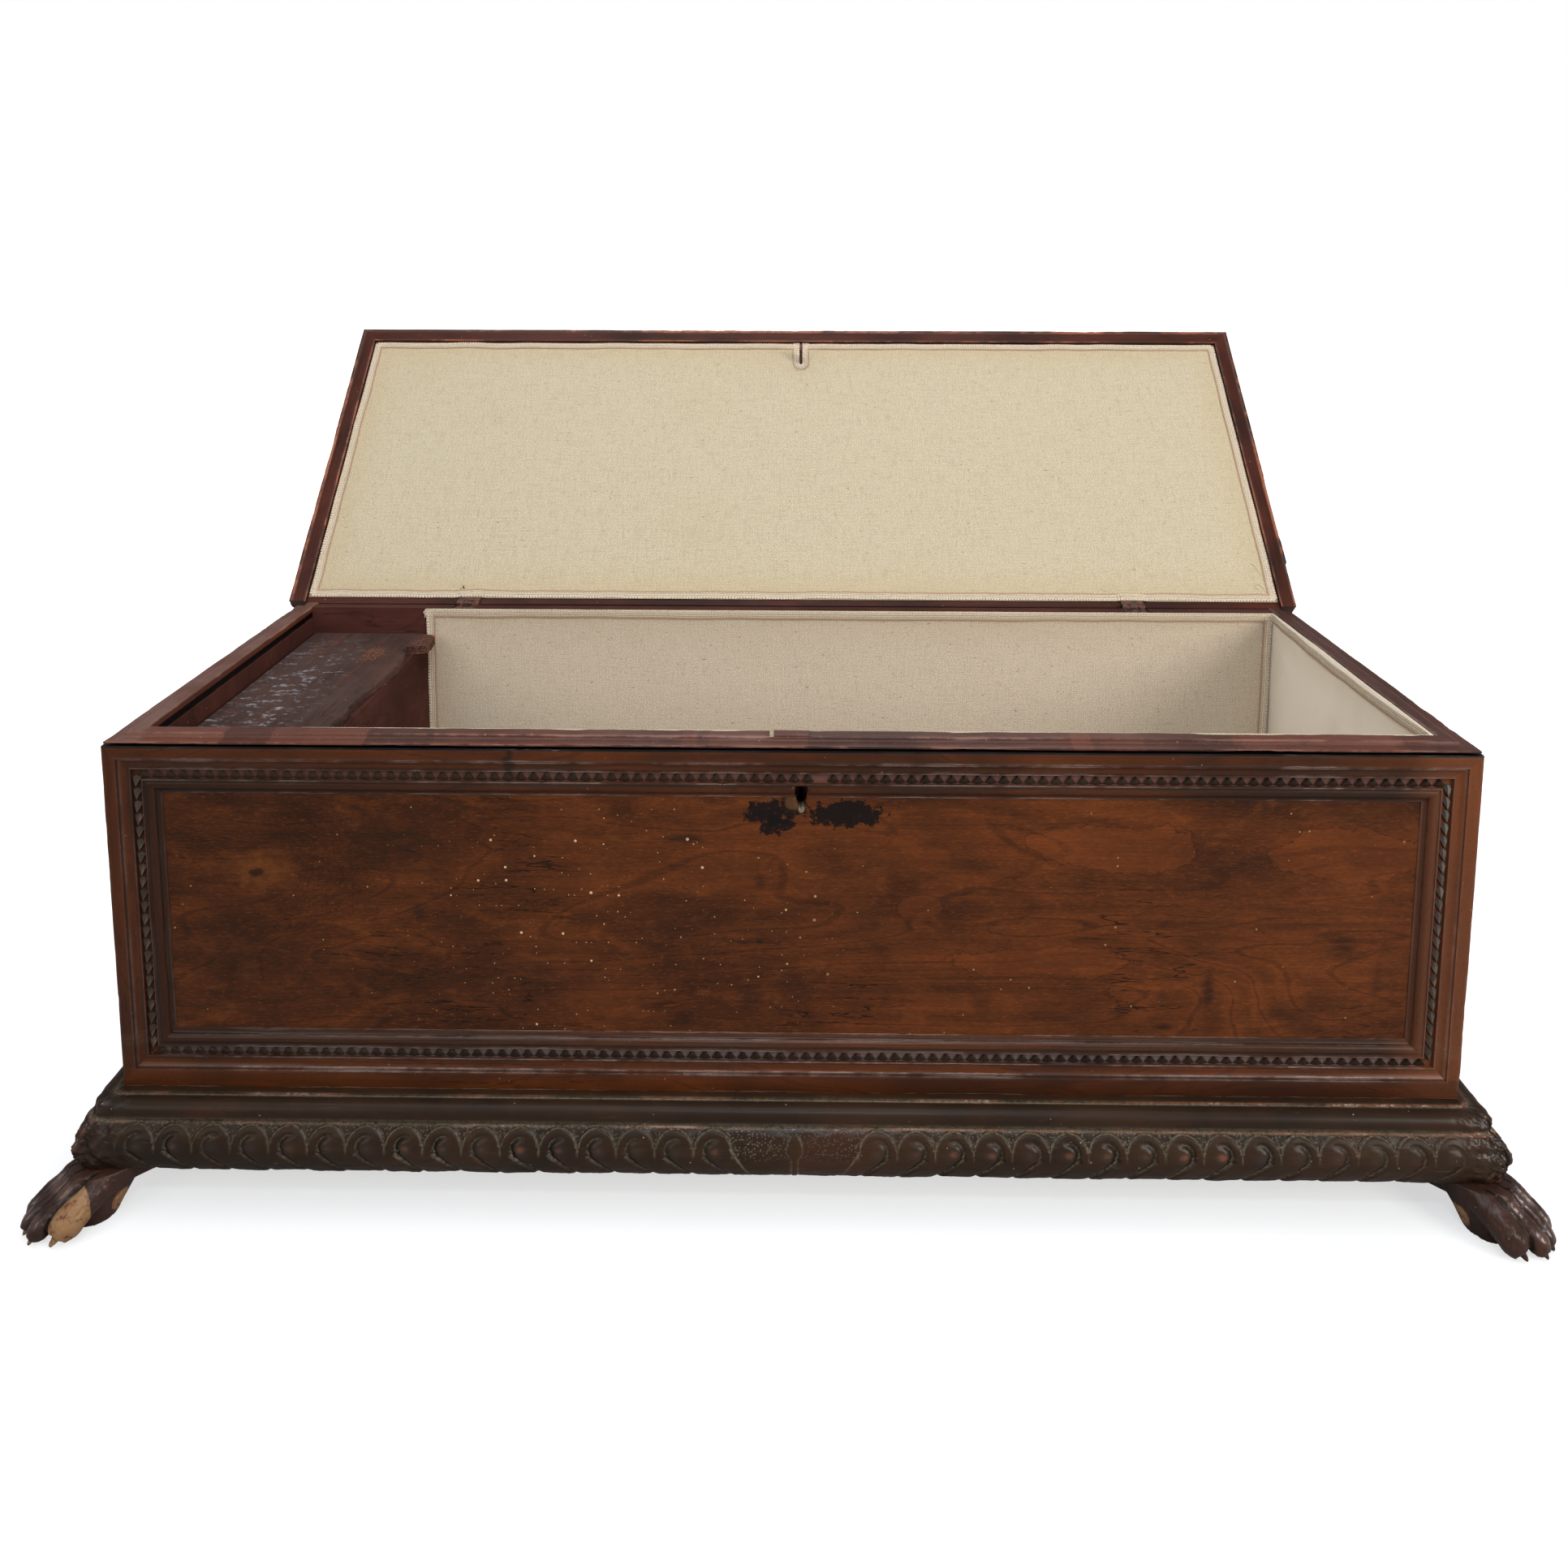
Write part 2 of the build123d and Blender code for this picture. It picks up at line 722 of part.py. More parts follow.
def dowel_sockets():
    """Sockets on both sides of the joint between the feet and their blocks."""
    for x, y in dowel_places:
        with Locations((x, y, foot_height)):
            Cylinder(dowel_hole, dowel_length, mode=Mode.SUBTRACT)


with BuildPart() as foot_blocks:
    for x, y in block_places:
        half_block = foot_block_side / 2
        block(
            (x - half_block, x + half_block),
            (y - half_block, y + half_block),
            (foot_height, floor_bottom),
        )
    dowel_sockets()
save(foot_blocks, "foot_blocks")

with BuildPart() as foot_dowels:
    for x, y in dowel_places:
        with Locations((x, y, foot_height)):
            Cylinder(dowel_radius, dowel_length)
save(foot_dowels, "foot_dowels")


def toe(start, tip):
    """A club-shaped toe, turned about the line from its root to its tip."""
    root_radius = toe_root_size * toe_radius
    run = tip - start
    length = run.length
    along = run.normalized()
    side = along.cross(UP).normalized()
    with BuildPart() as piece:
        with BuildSketch(Plane(origin=start, x_dir=along, z_dir=side)):
            with BuildLine():
                Polyline((length, 0), (0, 0), (0, root_radius))
                Spline(
                    (0, root_radius),
                    (toe_waist_place * length, toe_waist_size * toe_radius),
                    (toe_bulb_place * length, toe_radius),
                    (length, 0),
                    tangents=((1, 0), (0, -1)),
                )
            make_face()
        revolve(axis=Axis(start, along))
    return piece.part


toe_pitch = (paw_width - toe_margin) / (toe_count - 1)
with BuildPart() as front_left_paw:
    for height, centre, half, breadth in zip(
        paw_height_shares, paw_centre_shares, paw_half_shares, paw_breadth_shares
    ):
        with BuildSketch(paw_plane.offset(height * foot_height)):
            with Locations((-centre * paw_length, 0)):
                Ellipse(half * paw_length, breadth * paw_width)
    loft()
    for index in range(toe_count):
        across = (index - (toe_count - 1) / 2) * toe_pitch
        reach = toe_reach - toe_fall * abs(across)
        root_across = toe_root_spread * across
        root = paw_point(-toe_root_share * paw_length, root_across, foot_height - toe_radius)
        tip = paw_point(reach, across, toe_tip_height * toe_radius)
        add(toe(root, tip))
    split(bisect_by=Plane.XY, keep=Keep.TOP)
    split(bisect_by=Plane.XY.offset(foot_height), keep=Keep.BOTTOM)
    with BuildSketch(paw_plane.offset(foot_height - heel_thickness)):
        with Locations((-(heel_reach + paw_length / 2) / 2, 0)):
            Rectangle(heel_reach - paw_length / 2, heel_width)
    extrude(amount=heel_thickness)
    dowel_sockets()
save(front_left_paw, "front_left_paw")

with BuildPart() as front_right_paw:
    mirror(front_left_paw.part, about=Plane.YZ)
save(front_right_paw, "front_right_paw")

for side_name, side in (("left", -1), ("right", 1)):
    with BuildPart() as rear_foot:
        for height, breadth in ((0, rear_foot_sole), (foot_height, rear_foot_top)):
            with BuildSketch(Plane.XY.offset(height)):
                with Locations((side * rear_foot_x, rear_foot_y)):
                    Rectangle(breadth, breadth)
        loft()
        dowel_sockets()
    save(rear_foot, f"rear_{side_name}_foot")

# ---------------------------------------------------------------------------
# Till
# ---------------------------------------------------------------------------

with BuildPart() as till_side:
    block(
        (till_side_x, till_side_x + till_side_thickness),
        (inner_front, inner_back),
        (till_floor_top - till_bottom_thickness, till_side_top),
    )
save(till_side, "till_side")

with BuildPart() as till_bottom:
    block(
        (-inner_side, till_side_x),
        (inner_front, inner_back),
        (till_floor_top - till_bottom_thickness, till_floor_top),
    )
save(till_bottom, "till_bottom")

till_lid_left = -inner_side + till_edge_play
till_lid_right = lining_left + till_lid_overhang
till_lid_front = inner_front + till_lid_play
till_lid_rear = inner_back - till_lid_play
lug_rear = till_lid_rear - till_lug_start
lug_front = lug_rear - till_lug_length
scar_middle = (lug_front + till_lid_front) / 2

with BuildPart() as till_lid:
    with BuildSketch(Plane.XY.offset(till_lid_bottom)):
        with BuildLine():
            Polyline(
                (till_lid_left, till_lid_front),
                (till_lid_right - till_scar_depth, till_lid_front),
                (till_lid_right, scar_middle),
                (till_lid_right - till_scar_depth, lug_front - till_scar_depth),
                (till_lid_right - till_scar_depth, lug_front),
                (till_lid_right + till_lug_reach, lug_front),
                (till_lid_right + till_lug_reach, lug_rear),
                (till_lid_right - till_scar_depth, lug_rear),
                (till_lid_right - till_scar_depth, till_lid_rear),
                (till_lid_left, till_lid_rear),
                close=True,
            )
        make_face()
    extrude(amount=till_lid_thickness)
    pin_run = till_lid_rear - till_lid_front + 2 * till_pivot_length
    along_y(pin_run, till_pivot_radius, till_pivot_x, mid_depth, till_pivot_z)
save(till_lid, "till_lid")

# ---------------------------------------------------------------------------
# Lining of the main compartment, with its braid
# ---------------------------------------------------------------------------

lining_bottom = floor_top
lining_top = strip_top - lining_drop
lining_right = inner_side - cloth
lining_front = inner_front + cloth
lining_back = inner_back - cloth
lock_half_window = lock_plate_width / 2 + lock_margin
lock_window_bottom = lock_plate_top - lock_plate_height - lock_margin

with BuildPart() as floor_lining:
    block((lining_left, inner_side), (inner_front, inner_back), (lining_bottom, lining_bottom + cloth))
save(floor_lining, "floor_lining")

wall_foot = lining_bottom + cloth
with BuildPart() as back_lining:
    block((lining_left, lining_right), (lining_back, inner_back), (wall_foot, lining_top))
save(back_lining, "back_lining")

with BuildPart() as right_lining:
    block((lining_right, inner_side), (inner_front, inner_back), (wall_foot, lining_top))
save(right_lining, "right_lining")

with BuildPart() as front_lining:
    block((lining_left, lining_right), (inner_front, lining_front), (wall_foot, lining_top))
    block(
        (keyhole_x - lock_half_window, keyhole_x + lock_half_window),
        (inner_front, lining_front),
        (lock_window_bottom, lining_top),
        Mode.SUBTRACT,
    )
save(front_lining, "front_lining")

braid_face = lining_back - braid_thickness
braid_side = lining_right - braid_thickness
with BuildPart() as back_braid:
    block((lining_left, braid_side), (braid_face, lining_back), (lining_top - braid_width, lining_top))
    for low, high in ((lining_left, lining_left + braid_width), (braid_side - braid_width, braid_side)):
        block((low, high), (braid_face, lining_back), (wall_foot, lining_top))
save(back_braid, "back_braid")

with BuildPart() as right_braid:
    block((braid_side, lining_right), (lining_front, lining_back), (lining_top - braid_width, lining_top))
save(right_braid, "right_braid")

# ---------------------------------------------------------------------------
# Lock on the inside of the front board
# ---------------------------------------------------------------------------

lock_left = keyhole_x - lock_case_width / 2
lock_right = keyhole_x + lock_case_width / 2
bolt_low = eye_middle - bolt_side / 2
bolt_high = eye_middle + bolt_side / 2
bolt_near = staple_y - bolt_side / 2
bolt_far = staple_y + bolt_side / 2
thrown_end = bolt_start + bolt_length + bolt_travel
guide_starts = (
    bolt_start + bolt_travel + guide_setback,
    bolt_start + bolt_length - guide_width - guide_setback,
    thrown_end - guide_catch,
)

with BuildPart() as lock_plate:
    block(
        (keyhole_x - lock_plate_width / 2, keyhole_x + lock_plate_width / 2),
        (inner_front, lock_front),
        (lock_plate_top - lock_plate_height, lock_plate_top),
    )
    for guide_x in guide_starts:
        block(
            (guide_x, guide_x + guide_width),
            (lock_front, bolt_far + guide_wall),
            (bolt_low - guide_wall, bolt_high + guide_wall),
        )
    block(
        (bolt_start, thrown_end + bolt_play),
        (bolt_near - bolt_play, bolt_far + bolt_play),
        (bolt_low - bolt_play, bolt_high + bolt_play),
        Mode.SUBTRACT,
    )
    keyhole_cut(inner_front, lock_front)
    lock_nail_holes()
save(lock_plate, "lock_plate")

with BuildPart() as lock_case:
    block((lock_left, lock_right), (lock_front, lock_back), (lock_top - lock_case_height, lock_top))
    block(
        (lock_left + lock_wall, lock_right - lock_wall),
        (lock_front, lock_back - lock_wall),
        (lock_top - lock_case_height + lock_wall, lock_top - lock_wall),
        Mode.SUBTRACT,
    )
    slot_half_x = staple_thickness / 2 + staple_slot_play
    slot_half_y = staple_width / 2 + staple_slot_play
    block(
        (keyhole_x - slot_half_x, keyhole_x + slot_half_x),
        (staple_y - slot_half_y, min(staple_y + slot_half_y, lock_back - lock_wall)),
        (lock_top - lock_wall, lock_top),
        Mode.SUBTRACT,
    )
save(lock_case, "lock_case")

with BuildPart() as key_pin:
    pin_back = lock_back - lock_wall
    along_y(key_pin_length, key_pin_radius, keyhole_x, pin_back - key_pin_length / 2, keyhole_head_z)
save(key_pin, "key_pin")

with BuildPart() as lock_bolt:
    block((bolt_start, bolt_start + bolt_length), (bolt_near, bolt_far), (bolt_low, bolt_high))
save(lock_bolt, "lock_bolt")

with BuildPart() as lock_nails:
    for x, z in lock_nail_places():
        along_y(lock_nail_length, lock_nail_shank, x, lock_front - lock_nail_length / 2, z)
        along_y(nail_head_rise, lock_nail_head, x, lock_front + nail_head_rise / 2, z)
save(lock_nails, "lock_nails")

# ---------------------------------------------------------------------------
# Lid
# ---------------------------------------------------------------------------


def lid_nail_places(hinge_x):
    """Two nails across the far end of a lid leaf, as distances from the hinge axis."""
    across = leaf_width / 2 - 2 * hinge_nail_head
    return [(hinge_x + end * across, lid_nail_share * lid_leaf_length) for end in (-1, 1)]


lid_hinge_holes = hinge_nail_shank + nail_hole_play
with BuildPart() as lid_board:
    lid_block((-lid_board_half, lid_board_half), (lid_board_front, back_face), (lid_underside, lid_top))
    for hinge_x in hinge_positions.values():
        along_x(
            leaf_width + 2 * knuckle_side_play, knuckle_clearance, hinge_x, hinge_y, hinge_z, Mode.SUBTRACT
        )
        for nail_x, nail_v in lid_nail_places(hinge_x):
            with BuildSketch(lid_plane.offset(lid_out(lid_underside))) as hole:
                with Locations((nail_x, nail_v)):
                    Circle(lid_hinge_holes)
            extrude(hole.sketch, amount=-hinge_nail_length, mode=Mode.SUBTRACT)
save(lid_board, "lid_board")


def lid_outline():
    """Section of the lid moulding; x goes in from the outer edge, y out of the lined side."""
    low = lid_out(moulding_underside)
    high = lid_out(lid_top)
    edge_start = (0, high + lid_nosing)
    edge_end = (0, high + 2 * lid_nosing)
    Polyline((lid_quirk, low), (lid_border, low), (lid_border, high), (lid_nosing, high))
    curve((lid_nosing, high), edge_start, lid_nosing_bend)
    Polyline(edge_start, edge_end, (lid_quirk, edge_end[1]), (lid_quirk, low))


lid_run = lid_along(lid_front) - lid_along(back_face)
lid_mid_run = (lid_along(lid_front) + lid_along(back_face)) / 2
lid_front_edge = Plane(
    origin=lid_plane.origin + lid_plane.y_dir * lid_along(lid_front),
    x_dir=-lid_plane.x_dir,
    z_dir=lid_plane.z_dir,
)
lid_front_moulding = moulding(lid_front_edge, 2 * lid_half_width, lid_outline)
save(lid_front_moulding, "lid_front_moulding")

for side_name, side in (("left", -1), ("right", 1)):
    edge = Plane(
        origin=lid_plane.origin + lid_plane.x_dir * (side * lid_half_width) + lid_plane.y_dir * lid_mid_run,
        x_dir=lid_plane.y_dir * side,
        z_dir=lid_plane.z_dir,
    )
    lid_side_moulding = moulding(edge, lid_run, lid_outline, ends=(side,))
    save(lid_side_moulding, f"lid_{side_name}_moulding")

# Cloth on the lid, cut away round the staple and the hinge leaves
cloth_half = lid_board_half - lid_lining_inset
cloth_front = lid_board_front + lid_lining_inset
cloth_rear = hinge_y - lid_lining_rear
window_depth = staple_y + staple_window_margin


def lid_windows(depth_low, depth_high):
    """Cut the staple's window and the hinge notches out of a layer on the lid."""
    half_window = staple_window / 2
    lid_block(
        (keyhole_x - half_window, keyhole_x + half_window),
        (cloth_front, window_depth),
        (depth_low, depth_high),
        Mode.SUBTRACT,
    )
    for hinge_x in hinge_positions.values():
        half_notch = leaf_width / 2 + hinge_notch_play
        lid_block(
            (hinge_x - half_notch, hinge_x + half_notch),
            (hinge_y - lid_leaf_length - hinge_notch_play, cloth_rear),
            (depth_low, depth_high),
            Mode.SUBTRACT,
        )


with BuildPart() as lid_lining:
    lid_block((-cloth_half, cloth_half), (cloth_front, cloth_rear), (lid_underside - cloth, lid_underside))
    lid_windows(lid_underside - cloth, lid_underside)
save(lid_lining, "lid_lining")

braid_low = lid_underside - cloth - braid_thickness
braid_high = lid_underside - cloth
half_loop = staple_window / 2 + braid_width / 2
with BuildPart() as lid_braid:
    lid_block((-cloth_half, cloth_half), (cloth_front, cloth_rear), (braid_low, braid_high))
    lid_block(
        (-cloth_half + braid_width, cloth_half - braid_width),
        (cloth_front + braid_width, cloth_rear - braid_width),
        (braid_low, braid_high),
        Mode.SUBTRACT,
    )
    lid_block(
        (keyhole_x - half_loop, keyhole_x + half_loop),
        (cloth_front, window_depth + braid_width / 2),
        (braid_low, braid_high),
    )
    lid_windows(braid_low, braid_high)
save(lid_braid, "lid_braid")

with BuildPart() as lid_staple:
    half_flange = staple_flange / 2
    half_iron = staple_thickness / 2
    half_blade = staple_width / 2
    lid_block(
        (keyhole_x - half_flange, keyhole_x + half_flange),
        (staple_y - half_flange, staple_y + half_flange),
        (lid_underside - staple_flange_thickness, lid_underside),
    )
    lid_block(
        (keyhole_x - half_iron, keyhole_x + half_iron),
        (staple_y - half_blade, staple_y + half_blade),
        (staple_end, lid_underside),
    )
    lid_block(
        (keyhole_x - half_iron, keyhole_x + half_iron),
        (staple_y - staple_eye / 2, staple_y + staple_eye / 2),
        (eye_middle - staple_eye / 2, eye_middle + staple_eye / 2),
        Mode.SUBTRACT,
    )
save(lid_staple, "lid_staple")

# ---------------------------------------------------------------------------
# Hinges: case leaves with two knuckles, lid leaves with one, a pin through all three
# ---------------------------------------------------------------------------

knuckle_width = leaf_width / 3
pin_bore = hinge_pin_radius + hinge_pin_play

for side_name, hinge_x in hinge_positions.items():
    with BuildPart() as case_leaf:
        leaf = (hinge_x - leaf_width / 2, hinge_x + leaf_width / 2)
        block(leaf, (back_face - case_leaf_length, hinge_y), (rim_height, rim_height + leaf_thickness))
        for end in (-1, 1):
            along_x(knuckle_width, knuckle_radius, hinge_x + end * knuckle_width, hinge_y, hinge_z)
        middle = knuckle_width + 2 * knuckle_side_play
        along_x(middle, knuckle_clearance, hinge_x, hinge_y, hinge_z, Mode.SUBTRACT)
        along_x(leaf_width, pin_bore, hinge_x, hinge_y, hinge_z, Mode.SUBTRACT)
        for nail_y in hinge_nail_depths():
            with Locations((hinge_x, nail_y, rim_height + leaf_thickness / 2)):
                Cylinder(lid_hinge_holes, leaf_thickness, mode=Mode.SUBTRACT)
    save(case_leaf, f"{side_name}_hinge_case_leaf")

    with BuildPart() as lid_leaf:
        lid_block(
            leaf,
            (hinge_y - lid_leaf_length, hinge_y),
            (lid_underside - leaf_thickness, lid_underside),
        )
        along_x(knuckle_width, knuckle_radius, hinge_x, hinge_y, hinge_z)
        for end in (-1, 1):
            outer_knuckle = hinge_x + end * knuckle_width
            along_x(
                knuckle_width + knuckle_side_play,
                knuckle_clearance,
                outer_knuckle,
                hinge_y,
                hinge_z,
                Mode.SUBTRACT,
            )
        along_x(leaf_width, pin_bore, hinge_x, hinge_y, hinge_z, Mode.SUBTRACT)
        for nail_x, nail_v in lid_nail_places(hinge_x):
            with BuildSketch(lid_plane.offset(lid_out(lid_underside))) as hole:
                with Locations((nail_x, nail_v)):
                    Circle(lid_hinge_holes)
            extrude(hole.sketch, amount=leaf_thickness, mode=Mode.SUBTRACT)
    save(lid_leaf, f"{side_name}_hinge_lid_leaf")

with BuildPart() as hinge_pins:
    for hinge_x in hinge_positions.values():
        along_x(leaf_width, hinge_pin_radius, hinge_x, hinge_y, hinge_z)
save(hinge_pins, "hinge_pins")

with BuildPart() as hinge_case_nails:
    leaf_top = rim_height + leaf_thickness
    for hinge_x in hinge_positions.values():
        for nail_y in hinge_nail_depths():
            shank = hinge_nail_length
            with Locations((hinge_x, nail_y, leaf_top - shank / 2)):
                Cylinder(hinge_nail_shank, shank)
            with Locations((hinge_x, nail_y, leaf_top + nail_head_rise / 2)):
                Cylinder(hinge_nail_head, nail_head_rise)
save(hinge_case_nails, "hinge_case_nails")

with BuildPart() as hinge_lid_nails:
    leaf_face = lid_plane.offset(lid_out(lid_underside - leaf_thickness))
    for hinge_x in hinge_positions.values():
        for place in lid_nail_places(hinge_x):
            with BuildSketch(leaf_face) as shank_end:
                with Locations(place):
                    Circle(hinge_nail_shank)
            extrude(shank_end.sketch, amount=-hinge_nail_length)
            with BuildSketch(leaf_face) as head:
                with Locations(place):
                    Circle(hinge_nail_head)
            extrude(head.sketch, amount=nail_head_rise)
save(hinge_lid_nails, "hinge_lid_nails")
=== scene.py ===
"""Walnut cassone with a gadrooned base: carved detail, cloth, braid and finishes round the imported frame."""

import math

import bmesh
import bpy
import numpy as np
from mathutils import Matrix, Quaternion, Vector


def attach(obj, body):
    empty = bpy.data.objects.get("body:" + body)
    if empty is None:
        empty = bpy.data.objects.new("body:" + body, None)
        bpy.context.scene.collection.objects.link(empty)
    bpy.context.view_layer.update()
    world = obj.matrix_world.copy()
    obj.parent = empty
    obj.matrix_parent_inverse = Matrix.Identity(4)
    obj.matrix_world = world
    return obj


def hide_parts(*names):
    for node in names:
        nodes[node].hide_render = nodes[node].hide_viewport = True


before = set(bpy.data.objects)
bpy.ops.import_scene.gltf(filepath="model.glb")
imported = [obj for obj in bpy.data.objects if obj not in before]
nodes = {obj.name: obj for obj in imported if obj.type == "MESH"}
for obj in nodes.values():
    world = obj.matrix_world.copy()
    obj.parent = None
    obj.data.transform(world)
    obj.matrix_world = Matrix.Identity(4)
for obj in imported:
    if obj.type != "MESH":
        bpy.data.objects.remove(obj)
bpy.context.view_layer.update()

MM = 0.001

# ---------------------------------------------------------------------------
# Sizes of the chest, in millimetres, as the frame has them
# ---------------------------------------------------------------------------

HALF_WIDTH = 800.0
BOARD_SIDE = 786.0
INNER_SIDE = 762.0
FRONT_FACE = -280.0
BOARD_FRONT = -266.0
INNER_FRONT = -242.0
INNER_BACK = 253.0
LEDGE = 570.0
FOOT_HEIGHT = 57.0
BASE_TOP = 137.0
FRAME_FOOT = 144.0
FRAME_TOP = 565.0
HINGE_Y = 281.5
HINGE_Z = 574.25
LID_LEAN = math.radians(46.5)
LID_HALF = 812.0
LID_REACH = 573.5
LINING_LEFT = -580.0


def lid_point(x, along, out):
    """A place on the open lid: across, along from the hinge, and out of its lined side."""
    return (
        x,
        HINGE_Y + along * math.cos(LID_LEAN) - out * math.sin(LID_LEAN),
        HINGE_Z + along * math.sin(LID_LEAN) + out * math.cos(LID_LEAN),
    )


LID_ALONG = np.array((0, math.cos(LID_LEAN), math.sin(LID_LEAN)))
LID_OUT = np.array((0, -math.sin(LID_LEAN), math.cos(LID_LEAN)))
X_AXIS = np.array((1.0, 0, 0))
Y_AXIS = np.array((0, 1.0, 0))
Z_AXIS = np.array((0, 0, 1.0))
SHARP_ANGLE = 38  # degrees between two faces, from which their edge stays sharp

# ---------------------------------------------------------------------------
# Shader nodes
# ---------------------------------------------------------------------------


def tone(red, green, blue):
    """A colour as a painter mixes it, 0 to 255, turned into the shader's linear values."""
    mixed = [((c / 255 + 0.055) / 1.055) ** 2.4 if c > 10 else c / 3295 for c in (red, green, blue)]
    return (*mixed, 1.0)


class Wire:
    """What leaves a node; sums and products of wires are further Math nodes."""

    def __init__(self, socket):
        self.socket = socket
        self.tree = socket.id_data

    def __add__(self, other):
        return reckon("ADD", self, other)

    def __sub__(self, other):
        return reckon("SUBTRACT", self, other)

    def __mul__(self, other):
        return reckon("MULTIPLY", self, other)

    def __rtruediv__(self, other):
        return reckon("DIVIDE", other, self)

    def __abs__(self):
        return reckon("ABSOLUTE", self)


def feed(node, inputs):
    """Fill a node's inputs with values, sockets or wires."""
    for key, value in inputs.items():
        value = value.socket if isinstance(value, Wire) else value
        if isinstance(value, bpy.types.NodeSocket):
            node.id_data.links.new(value, node.inputs[key])
        else:
            node.inputs[key].default_value = value


def put(tree, kind, inputs=None, **settings):
    """Add a node, with its settings and inputs."""
    node = tree.nodes.new(kind)
    for key, value in settings.items():
        setattr(node, key, value)
    feed(node, inputs or {})
    return node


def tree_of(inputs):
    return next(value.tree for value in inputs.values() if isinstance(value, Wire))


def made(kind, inputs, which=0, **settings):
    """A node that a wire feeds, as the wire that leaves it."""
    return Wire(put(tree_of(inputs), kind, inputs, **settings).outputs[which])


def reckon(operation, a, b=0.0, c=0.0, clamp=False):
    """One Math node."""
    return made("ShaderNodeMath", {0: a, 1: b, 2: c}, operation=operation, use_clamp=clamp)


def blend(share, a, b):
    """Mix two colours by a share."""
    return made("ShaderNodeMix", {0: share, 6: a, 7: b}, 2, data_type="RGBA")


def paint(color, share, red, green, blue):
    """Cover a colour with a painter's tone, as far as the share says."""
    return blend(share, color, tone(red, green, blue))


def between(value, low, high, start=0.0, end=1.0):
    """Ease a value from start to end as it goes from low to high."""
    sockets = {"Value": value, "From Min": low, "From Max": high, "To Min": start, "To Max": end}
    return made("ShaderNodeMapRange", sockets, interpolation_type="SMOOTHSTEP")


def stretched(vector, x, y, z):
    """Scale a vector on each axis."""
    return made("ShaderNodeVectorMath", {0: vector, 1: (x, y, z)}, operation="MULTIPLY")


def axes_of(vector):
    """The three parts of a vector."""
    return [Wire(s) for s in put(vector.tree, "ShaderNodeSeparateXYZ", {"Vector": vector}).outputs]


def cloud(vector, scale, detail=3.0, roughness=0.5, distortion=0.0):
    """Smooth noise around 0.5."""
    labels = ("Vector", "Scale", "Detail", "Roughness", "Distortion")
    return made("ShaderNodeTexNoise", dict(zip(labels, (vector, scale, detail, roughness, distortion))))


def cells(vector, scale, **settings):
    """Scattered cells: the distance to the nearest one's middle, and its three chance values."""
    node = put(vector.tree, "ShaderNodeTexVoronoi", {"Vector": vector, "Scale": scale}, **settings)
    chances = put(vector.tree, "ShaderNodeSeparateColor", {"Color": node.outputs["Color"]}).outputs
    return Wire(node.outputs["Distance"]), [Wire(s) for s in chances]


def torn_distance(vector, centre, radii, ragged, grain):
    """Distance from a place in metres, 1 at the radii given on each axis, made uneven."""
    shift = made("ShaderNodeVectorMath", {0: vector, 1: centre}, operation="SUBTRACT")
    away = made("ShaderNodeVectorMath", {0: stretched(shift, *[1 / r for r in radii])}, 1, operation="LENGTH")
    return (cloud(vector, grain, 5.0, 0.65) - 0.5) * (2 * ragged) + away


def spot(vector, centre, radii, ragged=0.35, grain=60.0, soft=0.2):
    """Mask of a ragged patch round a place; soft is the share of it over which it fades."""
    torn = torn_distance(vector, centre, radii, ragged, grain)
    return between(torn, 1.0 - soft, 1.05 + 0.4 * soft, 1.0, 0.0)


def group(name, inputs, build):
    """A shader node group; its inputs are given with their values, and build gives what leaves it."""
    tree = bpy.data.node_groups.new(name, "ShaderNodeTree")
    for label, value in inputs.items():
        kind = {3: "Vector", 4: "Color"}[len(value)] if isinstance(value, tuple) else "Float"
        socket = tree.interface.new_socket(label, in_out="INPUT", socket_type=f"NodeSocket{kind}")
        socket.default_value = value
    found = build({s.name: Wire(s) for s in tree.nodes.new("NodeGroupInput").outputs})
    for label in found:
        kind = "Color" if label == "Color" else "Float"
        tree.interface.new_socket(label, in_out="OUTPUT", socket_type=f"NodeSocket{kind}")
    feed(tree.nodes.new("NodeGroupOutput"), found)
    return tree


def use(shared, inputs):
    """Place a node group; returns the wires that leave it, by label."""
    node = put(tree_of(inputs), "ShaderNodeGroup", inputs, node_tree=shared)
    return {s.name: Wire(s) for s in node.outputs}


def build_grain(given):
    """Walnut with its fibre along X: streaks, flame figure, pores and clouding."""
    vector = given["Vector"]
    fibre = cloud(stretched(vector, 9, 420, 420), 1.0, 4.0, 0.6)
    streak = cloud(stretched(vector, 2.2, 34, 34), 1.0, 5.0, 0.55, 0.6)
    field = cloud(stretched(vector, 1.3, 6.5, 6.5), 1.0, 2.5, 0.45, 0.4)
    rings = reckon("SINE", field * 80.0)
    mottle = cloud(stretched(vector, 5.5, 9, 9), 1.0, 5.0, 0.6)
    pored = between(cloud(stretched(vector, 70, 1500, 1500), 1.0, 2.0), 0.66, 0.72) * given["Pores"]
    value = (fibre - 0.5) * given["Fibre"] + 0.5 + (streak - 0.5) * 1.3
    value = reckon("ADD", value, rings * 0.5 * given["Figure"], clamp=True)
    color = blend(value, given["Middle"], given["Light"])
    clouded = between(mottle, 0.62, 0.3) * given["Mottle"]
    for share in (clouded, between(rings, 0.92, 1.0) * given["Figure"], pored):
        color = blend(share, color, given["Dark"])
    height = pored * -0.8 + value
    return {"Color": color, "Height": height, "Cloud": mottle}


